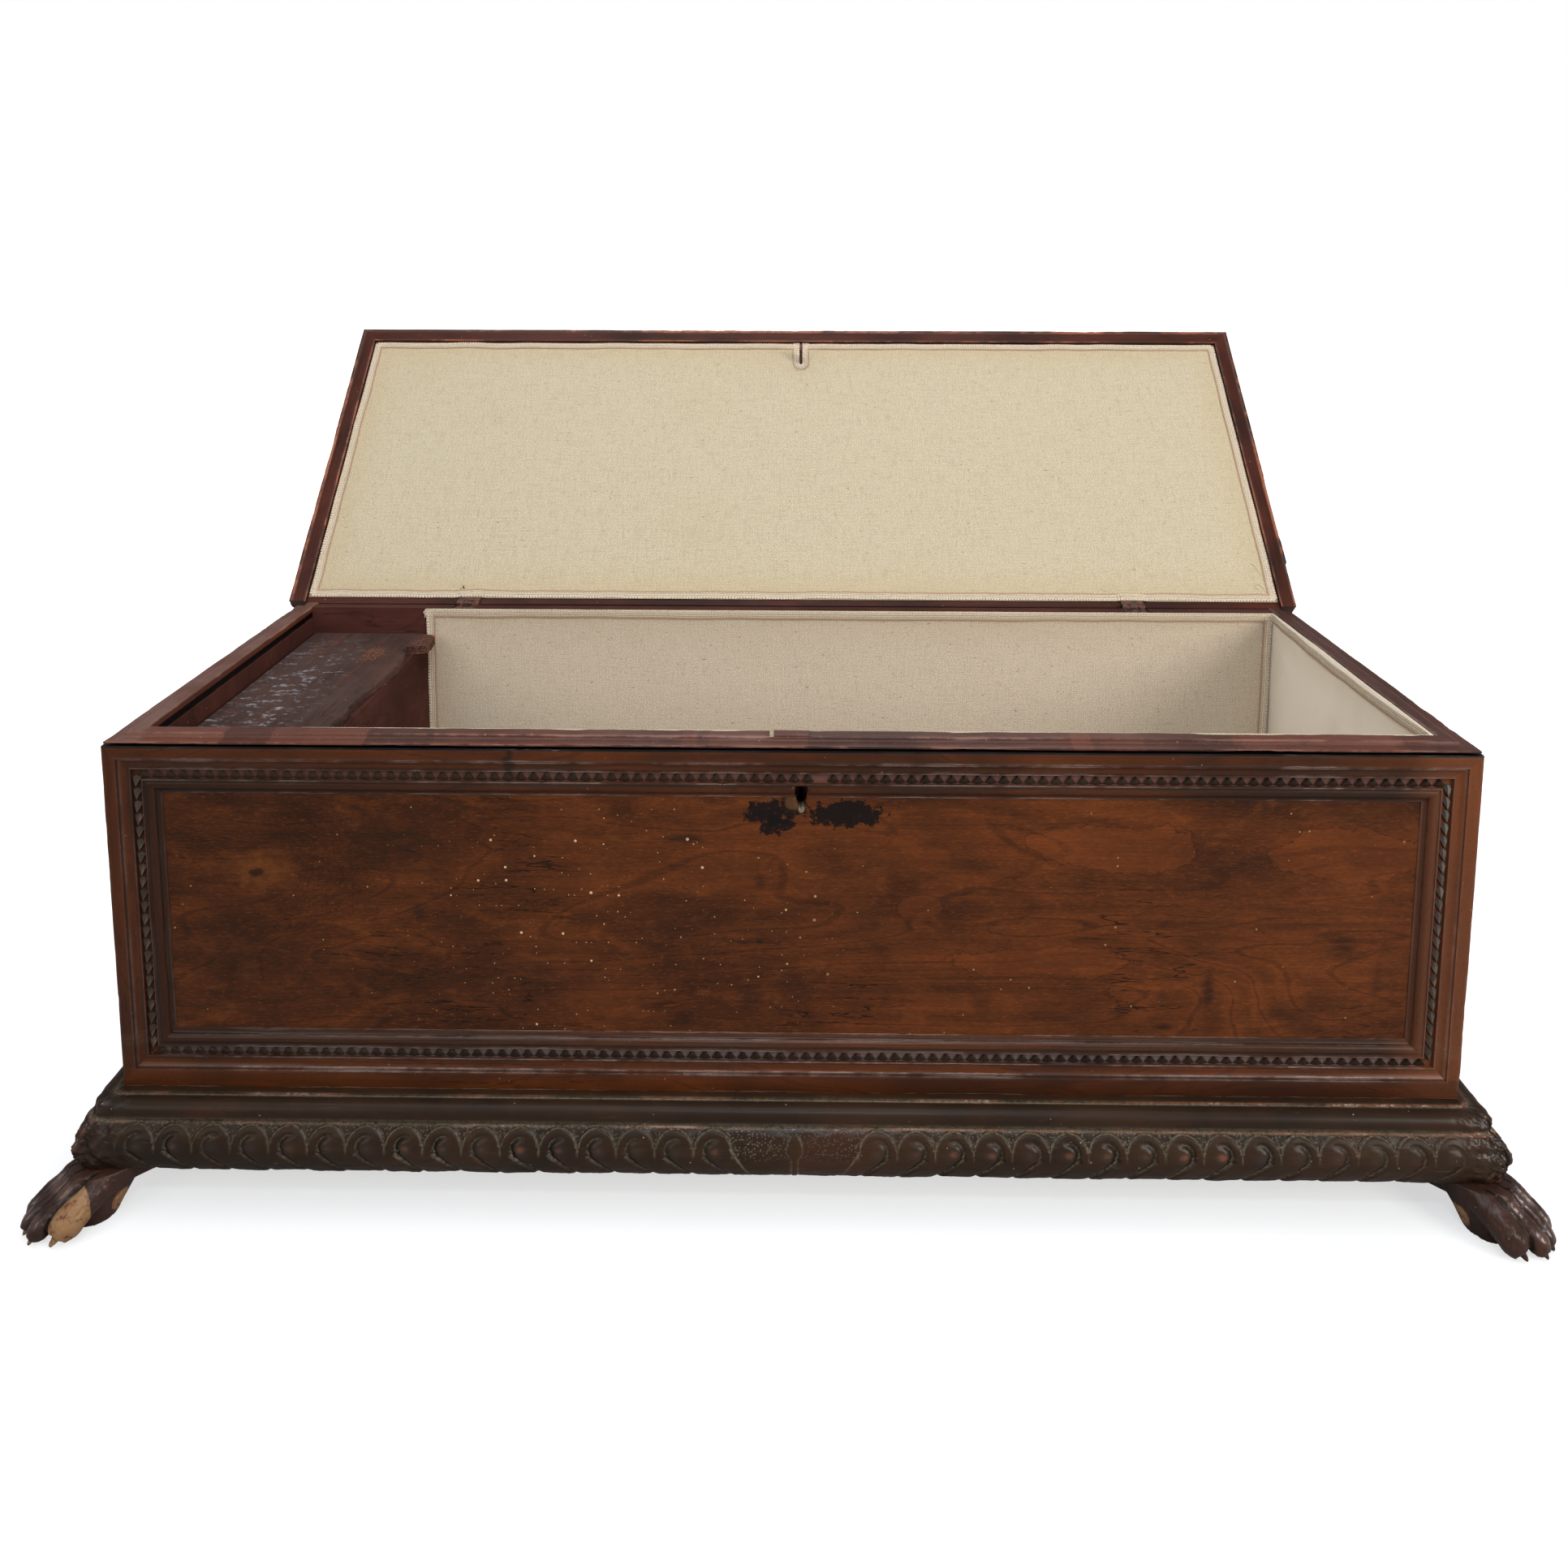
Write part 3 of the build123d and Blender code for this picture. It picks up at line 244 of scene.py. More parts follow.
GRAIN = group(
    "walnut_grain",
    {
        "Vector": (0, 0, 0), "Light": tone(140, 80, 40), "Middle": tone(100, 55, 28), "Dark": tone(45, 25, 15),
        "Fibre": 0.5, "Figure": 0.3, "Mottle": 0.6, "Pores": 0.5,
    },
    build_grain,
)


def build_wear(given):
    """Rubbed edges and dusty hollows, from the piece's own edge and hollow masks. On some pieces they carry
    painted light: a painted highlight on the rails' arrises, and painted light and painted shade on the
    dogteeth's facets.
    """
    vector = given["Vector"]
    rub = cloud(vector, 45.0, 5.0, 0.7)
    worn = between(rub * 0.9 + given["Edge"], 0.75, 1.25) * given["Rub"]
    speckle = cloud(vector, 260.0, 4.0, 0.7)
    settled = between(speckle * 0.9 + given["Hollow"], 0.7, 1.35) * given["Dust"]
    color = blend(settled, blend(worn, given["Color"], given["Bare"]), given["Powder"])
    return {"Color": color, "Worn": worn, "Settled": settled}


WEAR = group(
    "edge_wear_and_dust",
    {
        "Vector": (0, 0, 0), "Color": (0, 0, 0, 1), "Bare": tone(150, 90, 50), "Powder": tone(120, 115, 100),
        "Edge": 0.0, "Hollow": 0.0, "Rub": 0.6, "Dust": 0.5,
    },
    build_wear,
)


def build_marks(given):
    """Fine drying cracks along the grain, small dents and stray spots."""
    vector = given["Vector"]
    crack_field = cloud(stretched(vector, 4.5, 46, 46), 1.0, 4.0, 0.6, 0.3)
    where = between(cloud(stretched(vector, 4, 6, 6), 1.0, 2.0), 0.5, 0.64)
    crack = between(abs(crack_field - 0.5), 0.0035, 0.012, 1.0, 0.0) * where * given["Cracks"]
    distance, chances = cells(vector, given["Spread"])
    speck = between(distance, 0.05, 0.11, 1.0, 0.0) * between(chances[0], 0.80, 0.84) * given["Specks"]
    return {"Crack": crack, "Speck": speck}


MARKS = group(
    "cracks_and_specks", {"Vector": (0, 0, 0), "Cracks": 0.5, "Specks": 0.5, "Spread": 90.0}, build_marks
)


def build_weave(given):
    """Plain weave with uneven yarn; the vector is on the cloth, in metres."""
    vector = given["Vector"]
    turns = math.pi / given["Pitch"]
    warp, weft = (abs(reckon("SINE", part * turns)) for part in axes_of(vector)[:2])
    along = cloud(stretched(vector, 24, 520, 1), 1.0, 3.0, 0.6)
    up = cloud(stretched(vector, 520, 24, 1), 1.0, 3.0, 0.6)
    slub = (between(along, 0.55, 0.8) + between(up, 0.58, 0.85)) * given["Slubs"]
    fleck = between(cloud(stretched(vector, 90, 380, 1), 1.0, 2.0, 0.6), 0.67, 0.73)
    return {"Height": slub * 0.6 + warp * weft, "Slub": slub, "Fleck": fleck}


WEAVE = group("plain_weave", {"Vector": (0, 0, 0), "Pitch": 0.0011, "Slubs": 0.5}, build_weave)


def new_material(name):
    """An empty node material with its output; returns it with its tree and shader."""
    material = bpy.data.materials.new(name)
    material.use_nodes = True
    tree = material.node_tree
    tree.nodes.clear()
    shader = tree.nodes.new("ShaderNodeBsdfPrincipled")
    sink = tree.nodes.new("ShaderNodeOutputMaterial")
    tree.links.new(shader.outputs[0], sink.inputs[0])
    return material, tree, shader


def object_place(tree):
    return Wire(put(tree, "ShaderNodeTexCoord").outputs["Object"])


def own_mask(place, name):
    """A mask that the piece carries on its points."""
    return Wire(put(place.tree, "ShaderNodeAttribute", attribute_name=name).outputs["Fac"])


def bumped(height, strength, depth):
    return made("ShaderNodeBump", {"Strength": strength, "Distance": depth, "Height": height})


QUARTER = math.pi / 2
# Turns that lay each direction of fibre along X
GRAIN_TURNS = {
    "x": (),
    "y": (("Z_AXIS", QUARTER),),
    "z": (("Y_AXIS", QUARTER),),
    "lid": (("X_AXIS", -LID_LEAN), ("Z_AXIS", QUARTER)),
}


def along_grain(place, grain):
    """Turn a place so that the wood's fibre lies along X."""
    for axis, angle in GRAIN_TURNS[grain]:
        place = made("ShaderNodeVectorRotate", {"Vector": place, "Angle": angle}, rotation_type=axis)
    return place


def wood(name, grain, tones, finish, wear, marks=None, bump=0.12):
    """A wooden finish.

    tones: light, middle, dark, bare and dust. finish: gloss roughness low and high, coat
    weight. wear: fibre, figure, mottle, pores, rub, dust, cracks, specks. marks may repaint the
    colour and roughness of this one piece.
    """
    light, middle, dark, bare, powder = (tone(*parts) for parts in tones)
    smooth, rough, coat = finish
    fibre, figure, mottle, pores, rub, dust, cracks, specks = wear
    material, tree, shader = new_material(name)
    place = object_place(tree)
    vector = along_grain(place, grain)
    edge = own_mask(place, "edge")
    grained = use(GRAIN, {
        "Vector": vector, "Light": light, "Middle": middle, "Dark": dark,
        "Fibre": fibre, "Figure": figure, "Mottle": mottle, "Pores": pores,
    })
    worn = use(WEAR, {
        "Vector": place, "Color": grained["Color"], "Bare": bare, "Powder": powder,
        "Edge": edge, "Hollow": own_mask(place, "hollow"), "Rub": rub, "Dust": dust,
    })
    marked = use(MARKS, {"Vector": vector, "Cracks": cracks, "Specks": specks})
    color = paint(worn["Color"], marked["Crack"], 22, 13, 9)
    color = paint(color, marked["Speck"], 196, 176, 140)
    dulled = worn["Settled"] * 0.4 + between(grained["Cloud"], 0.3, 0.7, rough, smooth)
    dulled = reckon("MULTIPLY_ADD", worn["Worn"], 0.08, dulled, clamp=True)
    height = marked["Crack"] * -2.0 + grained["Height"]
    if marks:
        color, dulled, height = marks(place, color, dulled, height)
    feed(shader, {
        "Base Color": color, "Roughness": dulled, "Normal": bumped(height, bump, 0.0012),
        "Coat Weight": reckon("MULTIPLY_ADD", edge, 7 * coat, coat, clamp=True),
        "Coat Roughness": 0.3, "Specular IOR Level": 0.06,
    })
    return material


def woods(name, grains, *rest, **extra):
    """The same wood with its fibre in several directions, by direction."""
    return {grain: wood(f"{name}_{grain}", grain, *rest, **extra) for grain in grains}


PANEL_Y = BOARD_FRONT * MM


def paint_dots(place, where, scale=50.0, seldom=0.7):
    """Small round spots of spilt paint on an upright face."""
    across, _, up = axes_of(place)
    flat = made("ShaderNodeCombineXYZ", {0: across, 1: up})
    distance, chances = cells(flat, scale, voronoi_dimensions="2D")
    dot = reckon("LESS_THAN", distance, between(chances[1], 0.3, 1.0, 0.03, 0.11))
    return dot * reckon("GREATER_THAN", chances[0], seldom) * where


def on_panel(place, x, z, wide, tall, *rest):
    """A ragged patch on the front panel, from its middle and half sizes in metres."""
    return spot(place, (x, PANEL_Y, z), (wide, 1, tall), *rest)


# x, z and half sizes of smoky marks on the front panel, in metres, and how dark they are
SMOKE = (
    (-0.475, 0.444, 0.05, 0.035, 0.6), (-0.44, 0.357, 0.012, 0.012, 0.8), (-0.40, 0.27, 0.2, 0.03, 0.35),
    (-0.123, 0.450, 0.024, 0.007, 0.85), (-0.033, 0.395, 0.008, 0.01, 0.6), (-0.033, 0.322, 0.006, 0.006, 0.8),
    (-0.043, 0.251, 0.016, 0.016, 0.55), (0.006, 0.262, 0.024, 0.018, 0.45), (-0.13, 0.219, 0.02, 0.008, 0.7),
    (0.232, 0.247, 0.012, 0.016, 0.5), (0.501, 0.262, 0.008, 0.03, 0.85), (0.451, 0.217, 0.014, 0.004, 0.9),
    (0.449, 0.257, 0.01, 0.008, 0.7), (0.655, 0.318, 0.022, 0.014, 0.75), (0.602, 0.232, 0.034, 0.011, 0.65),
    (0.70, 0.272, 0.008, 0.03, 0.5), (0.50, 0.348, 0.14, 0.008, 0.4), (0.03, 0.34, 0.16, 0.03, 0.3),
    (-0.64, 0.30, 0.09, 0.05, 0.4), (0.22, 0.42, 0.03, 0.008, 0.4), (0.36, 0.475, 0.04, 0.006, 0.55),
)
# x, z and half sizes of flames in the grain, outlined by a dark line
FLAMES = (
    (0.40, 0.442, 0.10, 0.03), (0.66, 0.436, 0.09, 0.03), (0.16, 0.368, 0.026, 0.012), (0.3, 0.30, 0.11, 0.02),
)
# x, z and half sizes of stains round the keyhole, and of chips at its edge with their tones
KEYHOLE_STAINS = ((-0.022, 0.484, 0.03, 0.015), (-0.012, 0.468, 0.018, 0.012), (0.068, 0.483, 0.044, 0.016))
KEYHOLE_CHIPS = (
    ((0.006, 0.497, 0.014, 0.015), (28, 18, 12)), ((0.0055, 0.4965, 0.009, 0.010), (84, 56, 36)),
    ((0.016, 0.4885, 0.0035, 0.005), (120, 110, 94)),
)


def panel_marks(place, color, rough, height):
    """Stains round the keyhole, a knot with its rings, flames, smoky marks and spilt paint, and painted shade
    that darkens the panel towards the left.
    """
    across = axes_of(place)[0]
    # Painted shade: the panel darkens towards the left, as if the light fell from the right
    color = paint(color, between(across, -0.7, 0.25, 0.34, 0.0), 34, 19, 11)
    mottle = cloud(stretched(place, 13, 1, 30), 1.0, 6.0, 0.7, 0.8)
    color = paint(color, between(mottle, 0.5, 0.72, 0.0, 0.32), 120, 64, 27)
    color = paint(color, between(mottle, 0.5, 0.3, 0.0, 0.36), 34, 19, 11)
    fine = cloud(stretched(place, 130, 1, 620), 1.0, 5.0, 0.75)
    color = paint(color, between(fine, 0.5, 0.68, 0.0, 0.4), 28, 16, 10)
    color = paint(color, between(fine, 0.46, 0.3, 0.0, 0.35), 134, 76, 36)
    far = torn_distance(place, (-0.633, PANEL_Y, 0.407), (0.1, 1, 0.07), 0.75, 8.0)
    ring = between(reckon("SINE", far * 60.0), 0.7, 1.0)
    ringed = between(far, 0.35, 0.6) * between(far, 1.2, 2.0, 0.38, 0.0)
    ringed = ringed * between(across, -0.66, -0.58, 0.35, 1.0)
    color = paint(color, ring * ringed, 30, 17, 10)
    color = paint(color, on_panel(place, -0.628, 0.405, 0.04, 0.024, 1.3, 60.0, 0.9) * 0.24, 140, 82, 36)
    color = paint(color, on_panel(place, -0.631, 0.404, 0.01, 0.005, 1.2, 160.0, 0.6) * 0.8, 28, 16, 10)
    for x, z, wide, tall in FLAMES:
        edge = torn_distance(place, (x, PANEL_Y, z), (wide, 1, tall), 1.0, 13.0)
        color = paint(color, between(edge, 0.96, 1.01, 0.14, 0.0), 132, 66, 28)
        color = paint(color, between(abs(edge - 1.0), 0.008, 0.03, 0.45, 0.0), 36, 20, 13)
    streaked = between(cloud(stretched(place, 30, 1, 240), 1.0, 4.0, 0.7), 0.35, 0.62)
    for *patch, depth in SMOKE:
        shade = on_panel(place, *patch, 0.9, 34.0, 0.85) * (streaked * 0.5 + 0.5)
        color = paint(color, shade * depth, 30, 20, 14)
    for patch in KEYHOLE_STAINS:
        holes = between(cloud(place, 190.0, 5.0, 0.7), 0.3, 0.4)
        stain = on_panel(place, *patch, 1.3, 75.0, 0.12) * holes
        color = paint(color, stain * 0.95, 17, 13, 12)
        rough = blend(stain, rough, (0.24, 0.24, 0.24, 1))
        height = height + stain
    spill = on_panel(place, -0.2, 0.34, 0.28, 0.17, 0.6, 9.0, 0.5)
    color = paint(color, paint_dots(place, spill, 60.0, 0.88), 188, 160, 120)
    color = paint(color, paint_dots(place, spill, 150.0, 0.92), 176, 150, 114)
    color = paint(color, paint_dots(place, 0.7, 90.0, 0.975), 160, 124, 84)
    for patch, shade in KEYHOLE_CHIPS:
        color = paint(color, on_panel(place, *patch, 0.4, 160.0) * 0.75, *shade)
    return color, rough, height


# light, middle, dark, bare wood, dust
PANEL_TONES = ((99, 50, 21), (66, 34, 15), (32, 18, 11), (136, 80, 42), (100, 88, 72))
# On the frame the fifth tone is dark: it darkens the hollows rather than dusting them
FRAME_TONES = ((92, 45, 17), (60, 30, 12), (29, 18, 12), (112, 56, 28), (34, 22, 16))
# The rails' bare tone is a pale bluish grey: a painted highlight along their arrises
FRAME_RAIL_HIGHLIGHT_TONES = (*FRAME_TONES[:3], (150, 118, 104), FRAME_TONES[4])
BASE_TONES = ((56, 37, 23), (38, 26, 17), (20, 15, 11), (112, 60, 34), (96, 92, 74))
RIM_TONES = ((86, 44, 32), (60, 31, 24), (28, 16, 13), (122, 76, 58), (96, 80, 70))
LID_TONES = ((76, 36, 24), (53, 25, 18), (28, 16, 12), (140, 74, 40), (76, 54, 44))
INNER_TONES = ((80, 44, 37), (60, 33, 28), (32, 19, 17), (98, 57, 45), (98, 84, 74))
TILL_TONES = ((78, 58, 52), (58, 43, 39), (32, 23, 21), (104, 62, 48), (130, 126, 128))
SOFTWOOD_TONES = ((168, 128, 84), (142, 104, 66), (92, 64, 40), (186, 150, 108), (130, 116, 98))
# Dogteeth: the bare tone is painted light on the facets turned to the light, the dust tone painted shade at
# their feet
TOOTH_TONES = ((58, 45, 35), (42, 31, 24), (24, 18, 15), (124, 96, 80), (30, 21, 16))
PAW_TONES = ((66, 42, 32), (46, 30, 24), (24, 17, 14), (92, 54, 40), (40, 32, 27))

# roughness of the gloss, low and high, and coat weight
WAXED = (0.3, 0.46, 0.05)
RUBBED = (0.3, 0.46, 0.14)
OILED = (0.3, 0.46, 0.22)
TOOTH_GLOSS = (0.34, 0.46, 0.1)
GLOSSY = (0.38, 0.55, 0.13)
SATIN = (0.36, 0.56, 0.08)
DULL = (0.55, 0.8, 0.0)

# fibre, figure, mottle, pores, rub, dust, cracks, specks
PANEL_WEAR = (1.1, 0.4, 0.6, 0.9, 0, 0, 0.9, 0.0)
FRAME_WEAR = (0.8, 0.3, 0.6, 0.6, 0.6, 0.7, 0.5, 0.2)
BASE_WEAR = (0.5, 0.2, 0.6, 0.5, 0.7, 0.3, 0.2, 0.4)
RIM_WEAR = (0.7, 0.15, 0.6, 0.6, 0.7, 0.25, 0.6, 0.4)
LID_WEAR = (0.9, 0.2, 0.7, 0.6, 0.95, 0.3, 0.5, 0.3)
INNER_WEAR = (0.7, 0.2, 0.5, 0.5, 0.3, 0.3, 0.6, 0.3)
TILL_WEAR = (0.8, 0.1, 0.5, 0.5, 0.5, 0.2, 0.5, 0.5)
SOFTWOOD_WEAR = (0.9, 0.6, 0.35, 0.2, 0.3, 0.2, 0.5, 0.1)
# Dogteeth: rub and dust set how strong the painted light and painted shade on their facets are
TOOTH_WEAR = (0.4, 0.1, 0.5, 0.3, 0.9, 0.5, 0, 0.1)
PAW_WEAR = (0.5, 0.15, 0.6, 0.4, 0.7, 0.3, 0.2, 0.2)

PANEL_WOOD = wood("panel_walnut", "x", PANEL_TONES, WAXED, PANEL_WEAR, panel_marks, 0.2)


def frame_marks(place, color, rough, height):
    """A greyer, rubbed bead under the panel, a dark repair in the top rail, and painted light: a painted sheen
    on the dogtooth bands of the rails, painted light on the right stile, painted shade towards the left, and a
    painted shadow just under the frame's top.
    """
    across, back, up = axes_of(place)
    aside = abs(across)
    streak = between(cloud(stretched(place, 9, 40, 700), 1.0, 4.0, 0.7), 0.35, 0.65)
    low = between(up, 0.186, 0.19) * between(up, 0.204, 0.208, 1.0, 0.0)
    color = paint(color, low * between(streak, 0.0, 1.0, 0.0, 0.4), 84, 64, 52)
    inner = between(aside, 0.757, 0.755) * between(up, 0.187, 0.189) * between(up, 0.521, 0.523, 1.0, 0.0)
    color = paint(color, inner * between(aside, 0.2, 0.74, 0.2, 0.62), 30, 19, 13)
    # Painted reflection: the ground of the dogtooth bands on the two rails is lightened to a bluish sheen
    for middle, share, shade in ((0.529, 0.7, (104, 70, 62)), (0.18, 0.8, (100, 86, 84))):
        band = between(abs(up - middle), 0.0056, 0.0062, share, 0.0)
        color = paint(color, band * between(aside, 0.757, 0.755), *shade)
    repair = spot(place, (-0.325, -0.28, 0.545), (0.007, 1, 0.022), 1.2, 90.0, 0.4)
    color = paint(color, repair * 0.7, 24, 17, 13)
    # Painted light: the front of the right stile is lighter, as if lit from the right
    color = paint(color, between(back, -0.24, -0.262) * between(across, 0.70, 0.77, 0.0, 0.32), 132, 76, 46)
    color = paint(color, between(up, 0.163, 0.16) * between(across, -0.15, 0.1, 0.0, 0.4), 34, 17, 12)
    # Painted shade: the frame darkens towards the left, less on its lowest part
    dim = between(across, -0.78, -0.1, 0.34, 0.0) * between(up, 0.16, 0.163, 0.4, 1.0)
    color = paint(color, dim, 30, 16, 8)
    color = paint(color, between(cloud(place, 420.0, 5.0, 0.75), 0.5, 0.7, 0.0, 0.4), 24, 15, 10)
    # Painted shadow: a near-black line just under the frame's top edge, below the rim's overhang
    color = paint(color, between(up, 0.5622, 0.5636), 6, 4, 4)
    return color, rough, height


# The rails take the tones with the painted highlight on their arrises
FRAME_WOOD = woods("frame_walnut", "x", FRAME_RAIL_HIGHLIGHT_TONES, RUBBED, FRAME_WEAR, frame_marks)
FRAME_WOOD |= woods("frame_walnut", "yz", FRAME_TONES, RUBBED, FRAME_WEAR, frame_marks)


def base_marks(place, color, rough, height):
    """Punched dots in the ground of the carving, whitish dust dragged along the mouldings, and painted shade:
    darker where the carving is sunk deeper, and towards the left.
    """
    distance, _ = cells(place, 330.0)
    dot = between(distance, 0.26, 0.4, 1.0, 0.0) * own_mask(place, "punched")
    color = paint(color, dot * 0.5, 112, 104, 90)
    height = dot * -3.0 + height
    # Painted shade: the deeper the carving is sunk, the darker
    color = paint(color, own_mask(place, "sunk") * 0.65, 18, 13, 10)
    crumbs = between(cloud(place, 260.0, 5.0, 0.75), 0.36, 0.56)
    color = paint(color, own_mask(place, "hollow") * (crumbs * 0.6 + 0.1), 118, 108, 88)
    dragged = cloud(stretched(place, 14, 60, 260), 1.0, 5.0, 0.75)
    color = paint(color, between(dragged, 0.62, 0.74) * 0.3, 104, 98, 84)
    # Painted shade: the base darkens towards the left
    color = paint(color, between(axes_of(place)[0], -0.85, 0.1, 0.3, 0.0), 20, 14, 9)
    color = paint(color, between(cloud(place, 9.0, 4.0, 0.6), 0.5, 0.7, 0.0, 0.2), 74, 38, 22)
    return color, rough, height


BASE_WOOD = woods("base_walnut", "xyz", BASE_TONES, GLOSSY, BASE_WEAR, base_marks, 0.25)


def rim_marks(place, color, rough, height):
    """Patches of differing tone, grey dust on the left rim, white specks, and a painted shadow: a near-black
    line under the ledge.
    """
    across, _, up = axes_of(place)
    chance = cells(stretched(place, 9, 0, 0), 1.0)[1][0]
    color = paint(color, between(chance, 0.45, 0.9, 0.0, 0.2), 124, 72, 54)
    color = paint(color, between(chance, 0.4, 0.1, 0.0, 0.4), 44, 24, 20)
    settled = between(cloud(stretched(place, 12, 12, 12), 1.0, 6.0, 0.7), 0.35, 0.7, 0.25, 0.75)
    settled = settled * between(across, -0.765, -0.755, 1.0, 0.25)
    color = paint(color, own_mask(place, "top") * settled, 108, 84, 76)
    color = paint(color, between(cloud(place, 520.0, 3.0, 0.6), 0.68, 0.72) * 0.55, 168, 152, 140)
    # Painted shadow: a near-black line under the ledge, where it overhangs the frame
    color = paint(color, between(up, 0.5668, 0.5682, 1.0, 0.0), 6, 4, 4)
    return color, rough, height


RIM_WOOD = woods("rim_walnut", "xy", RIM_TONES, SATIN, RIM_WEAR, rim_marks, 0.25)
LID_WOOD = woods("lid_walnut", ("x", "lid"), LID_TONES, SATIN, LID_WEAR, bump=0.2)


def outer_marks(place, color, rough, height):
    """The faces on the outside of the case: browner and more figured than the stained inside."""
    across, back, _ = axes_of(place)
    outside = reckon("MAXIMUM", between(abs(across), 0.782, 0.784), between(back, 0.277, 0.279))
    streak = cloud(stretched(place, 5, 5, 26), 1.0, 6.0, 0.65, 0.6)
    brown = paint(tone(112, 60, 30), between(streak, 0.35, 0.65), 52, 28, 17)
    return blend(outside * 0.6, color, brown), rough, height


INNER_WOOD = woods("inner_walnut", "xyz", INNER_TONES, DULL, INNER_WEAR, outer_marks)
SOFTWOOD = woods("softwood", "xyz", SOFTWOOD_TONES, DULL, SOFTWOOD_WEAR)


def iron_finish():
    """Forged iron, dark and rusty."""
    material, tree, shader = new_material("rusty_iron")
    place = object_place(tree)
    rust = between(cloud(place, 120.0, 6.0, 0.7), 0.42, 0.6)
    pit = cloud(place, 900.0, 4.0, 0.7)
    color = paint(tone(58, 52, 50), rust, 98, 52, 34)
    color = paint(color, between(pit, 0.55, 0.7), 44, 26, 20)
    feed(shader, {
        "Base Color": color, "Roughness": between(rust, 0.0, 1.0, 0.42, 0.8),
        "Metallic": between(rust, 0.0, 1.0, 0.85, 0.15), "Normal": bumped(pit + rust, 0.4, 0.0006),
    })
    return material


IRON = iron_finish()


def linen(name, pale, deep, stain, lift=0.0):
    """Plain-woven linen; its own UV map is in metres on the cloth. Its last argument paints the cloth on the
    right wall lighter, as painted light.
    """
    material, tree, shader = new_material(name)
    pale, deep, stain = tone(*pale), tone(*deep), tone(*stain)
    flat = Wire(put(tree, "ShaderNodeUVMap", uv_map="cloth").outputs[0])
    place = object_place(tree)
    woven = use(WEAVE, {"Vector": flat, "Pitch": 0.0021, "Slubs": 0.8})
    color = blend(between(cloud(stretched(flat, 480, 620, 1), 1.0, 4.0, 0.8), 0.42, 0.55), deep, pale)
    for x, y in ((26, 420), (420, 26)):
        streak = cloud(stretched(flat, x, y, 1), 1.0, 4.0, 0.7)
        color = blend(between(streak, 0.5, 0.68, 0.0, 0.5), color, deep)
    color = blend(between(cloud(flat, 55.0, 4.0, 0.7), 0.5, 0.75, 0.0, 0.3), color, deep)
    color = paint(color, between(cloud(flat, 170.0, 2.0, 0.5), 0.68, 0.72) * 0.6, 146, 108, 68)
    color = blend(between(cloud(place, 3.0, 3.0, 0.5), 0.5, 0.8, 0.0, 0.2), color, stain)
    color = blend(between(woven["Height"], 0.0, 0.6, 0.6, 0.0), color, deep)
    color = blend(woven["Slub"] * 0.5, color, stain)
    color = paint(color, woven["Fleck"] * 0.85, 116, 82, 48)
    # Painted light: the cloth on the right wall is lightened towards white
    color = paint(color, between(axes_of(place)[0], 0.757, 0.7595, 0.0, lift), 244, 232, 212)
    # Darker towards the cloth's borders
    color = blend(own_mask(place, "hollow") * 0.35, color, stain)
    feed(shader, {
        "Base Color": color, "Normal": bumped(woven["Height"], 0.3, 0.0008),
        "Roughness": 0.92, "Sheen Weight": 0.2, "Sheen Roughness": 0.5,
    })
    return material


LID_LINEN = linen("lid_linen", (199, 186, 159), (154, 140, 114), (166, 142, 102))
CASE_LINEN = linen("case_linen", (212, 197, 177), (168, 152, 130), (160, 138, 108), 0.8)


def gimp_finish():
    """Cotton braid: pale yarn, with the sewing thread in rusty orange, and painted shade on the backing seen
    between the strands.
    """
    material, tree, shader = new_material("gimp_braid")
    place = object_place(tree)
    fluff = cloud(place, 700.0, 4.0, 0.7)
    color = paint(tone(210, 194, 171), between(fluff, 0.35, 0.7), 170, 152, 128)
    # Painted shade: the backing seen between the strands is darker
    color = paint(color, own_mask(place, "hollow") * 0.8, 142, 122, 99)
    color = paint(color, own_mask(place, "edge") * 0.85, 164, 108, 64)
    feed(shader, {
        "Base Color": color, "Normal": bumped(fluff, 0.5, 0.0004), "Roughness": 0.9, "Sheen Weight": 0.2,
    })
    return material


GIMP = gimp_finish()

# ---------------------------------------------------------------------------
# Meshes
# ---------------------------------------------------------------------------


def ripple(points, wavelength, seed):
    """Smooth random values round zero at points in millimetres."""
    random = np.random.default_rng(seed)
    total = np.zeros(len(points))
    for _ in range(12):
        heading = random.normal(size=3)
        heading /= np.linalg.norm(heading)
        pace = 2 * math.pi / (wavelength * random.uniform(0.6, 1.7))
        total += np.sin(points @ heading * pace + random.uniform(0, 2 * math.pi))
    return total / 3.4


def roughness_of(points, wavelengths, seed):
    """Several ripples added, each finer and weaker than the last."""
    total = np.zeros(len(points))
    for index, wavelength in enumerate(wavelengths):
        total += ripple(points, wavelength, seed + index) / (index + 1)
    return total


def give_masks(mesh, masks):
    """Put masks on a mesh, as values on its points."""
    for label, values in masks.items():
        layer = mesh.attributes.new(label, "FLOAT", "POINT")
        layer.data.foreach_set("value", np.asarray(values, np.float32))


def soften(mesh, angle=SHARP_ANGLE):
    """Shade a mesh smooth, save for its sharp edges."""
    mesh.shade_smooth()
    mesh.set_sharp_from_angle(angle=math.radians(angle))


def place_object(name, data):
    """A new object in the scene."""
    item = bpy.data.objects.new(name, data)
    bpy.context.scene.collection.objects.link(item)
    return item


def tube_faces(rings, count):
    """Faces that join rings of points, closed at both ends."""
    faces = [
        (i * count + k, i * count + (k + 1) % count, (i + 1) * count + (k + 1) % count, (i + 1) * count + k)
        for i in range(rings - 1)
        for k in range(count)
    ]
    return faces + [tuple(range(count)), tuple(range((rings - 1) * count, rings * count))]


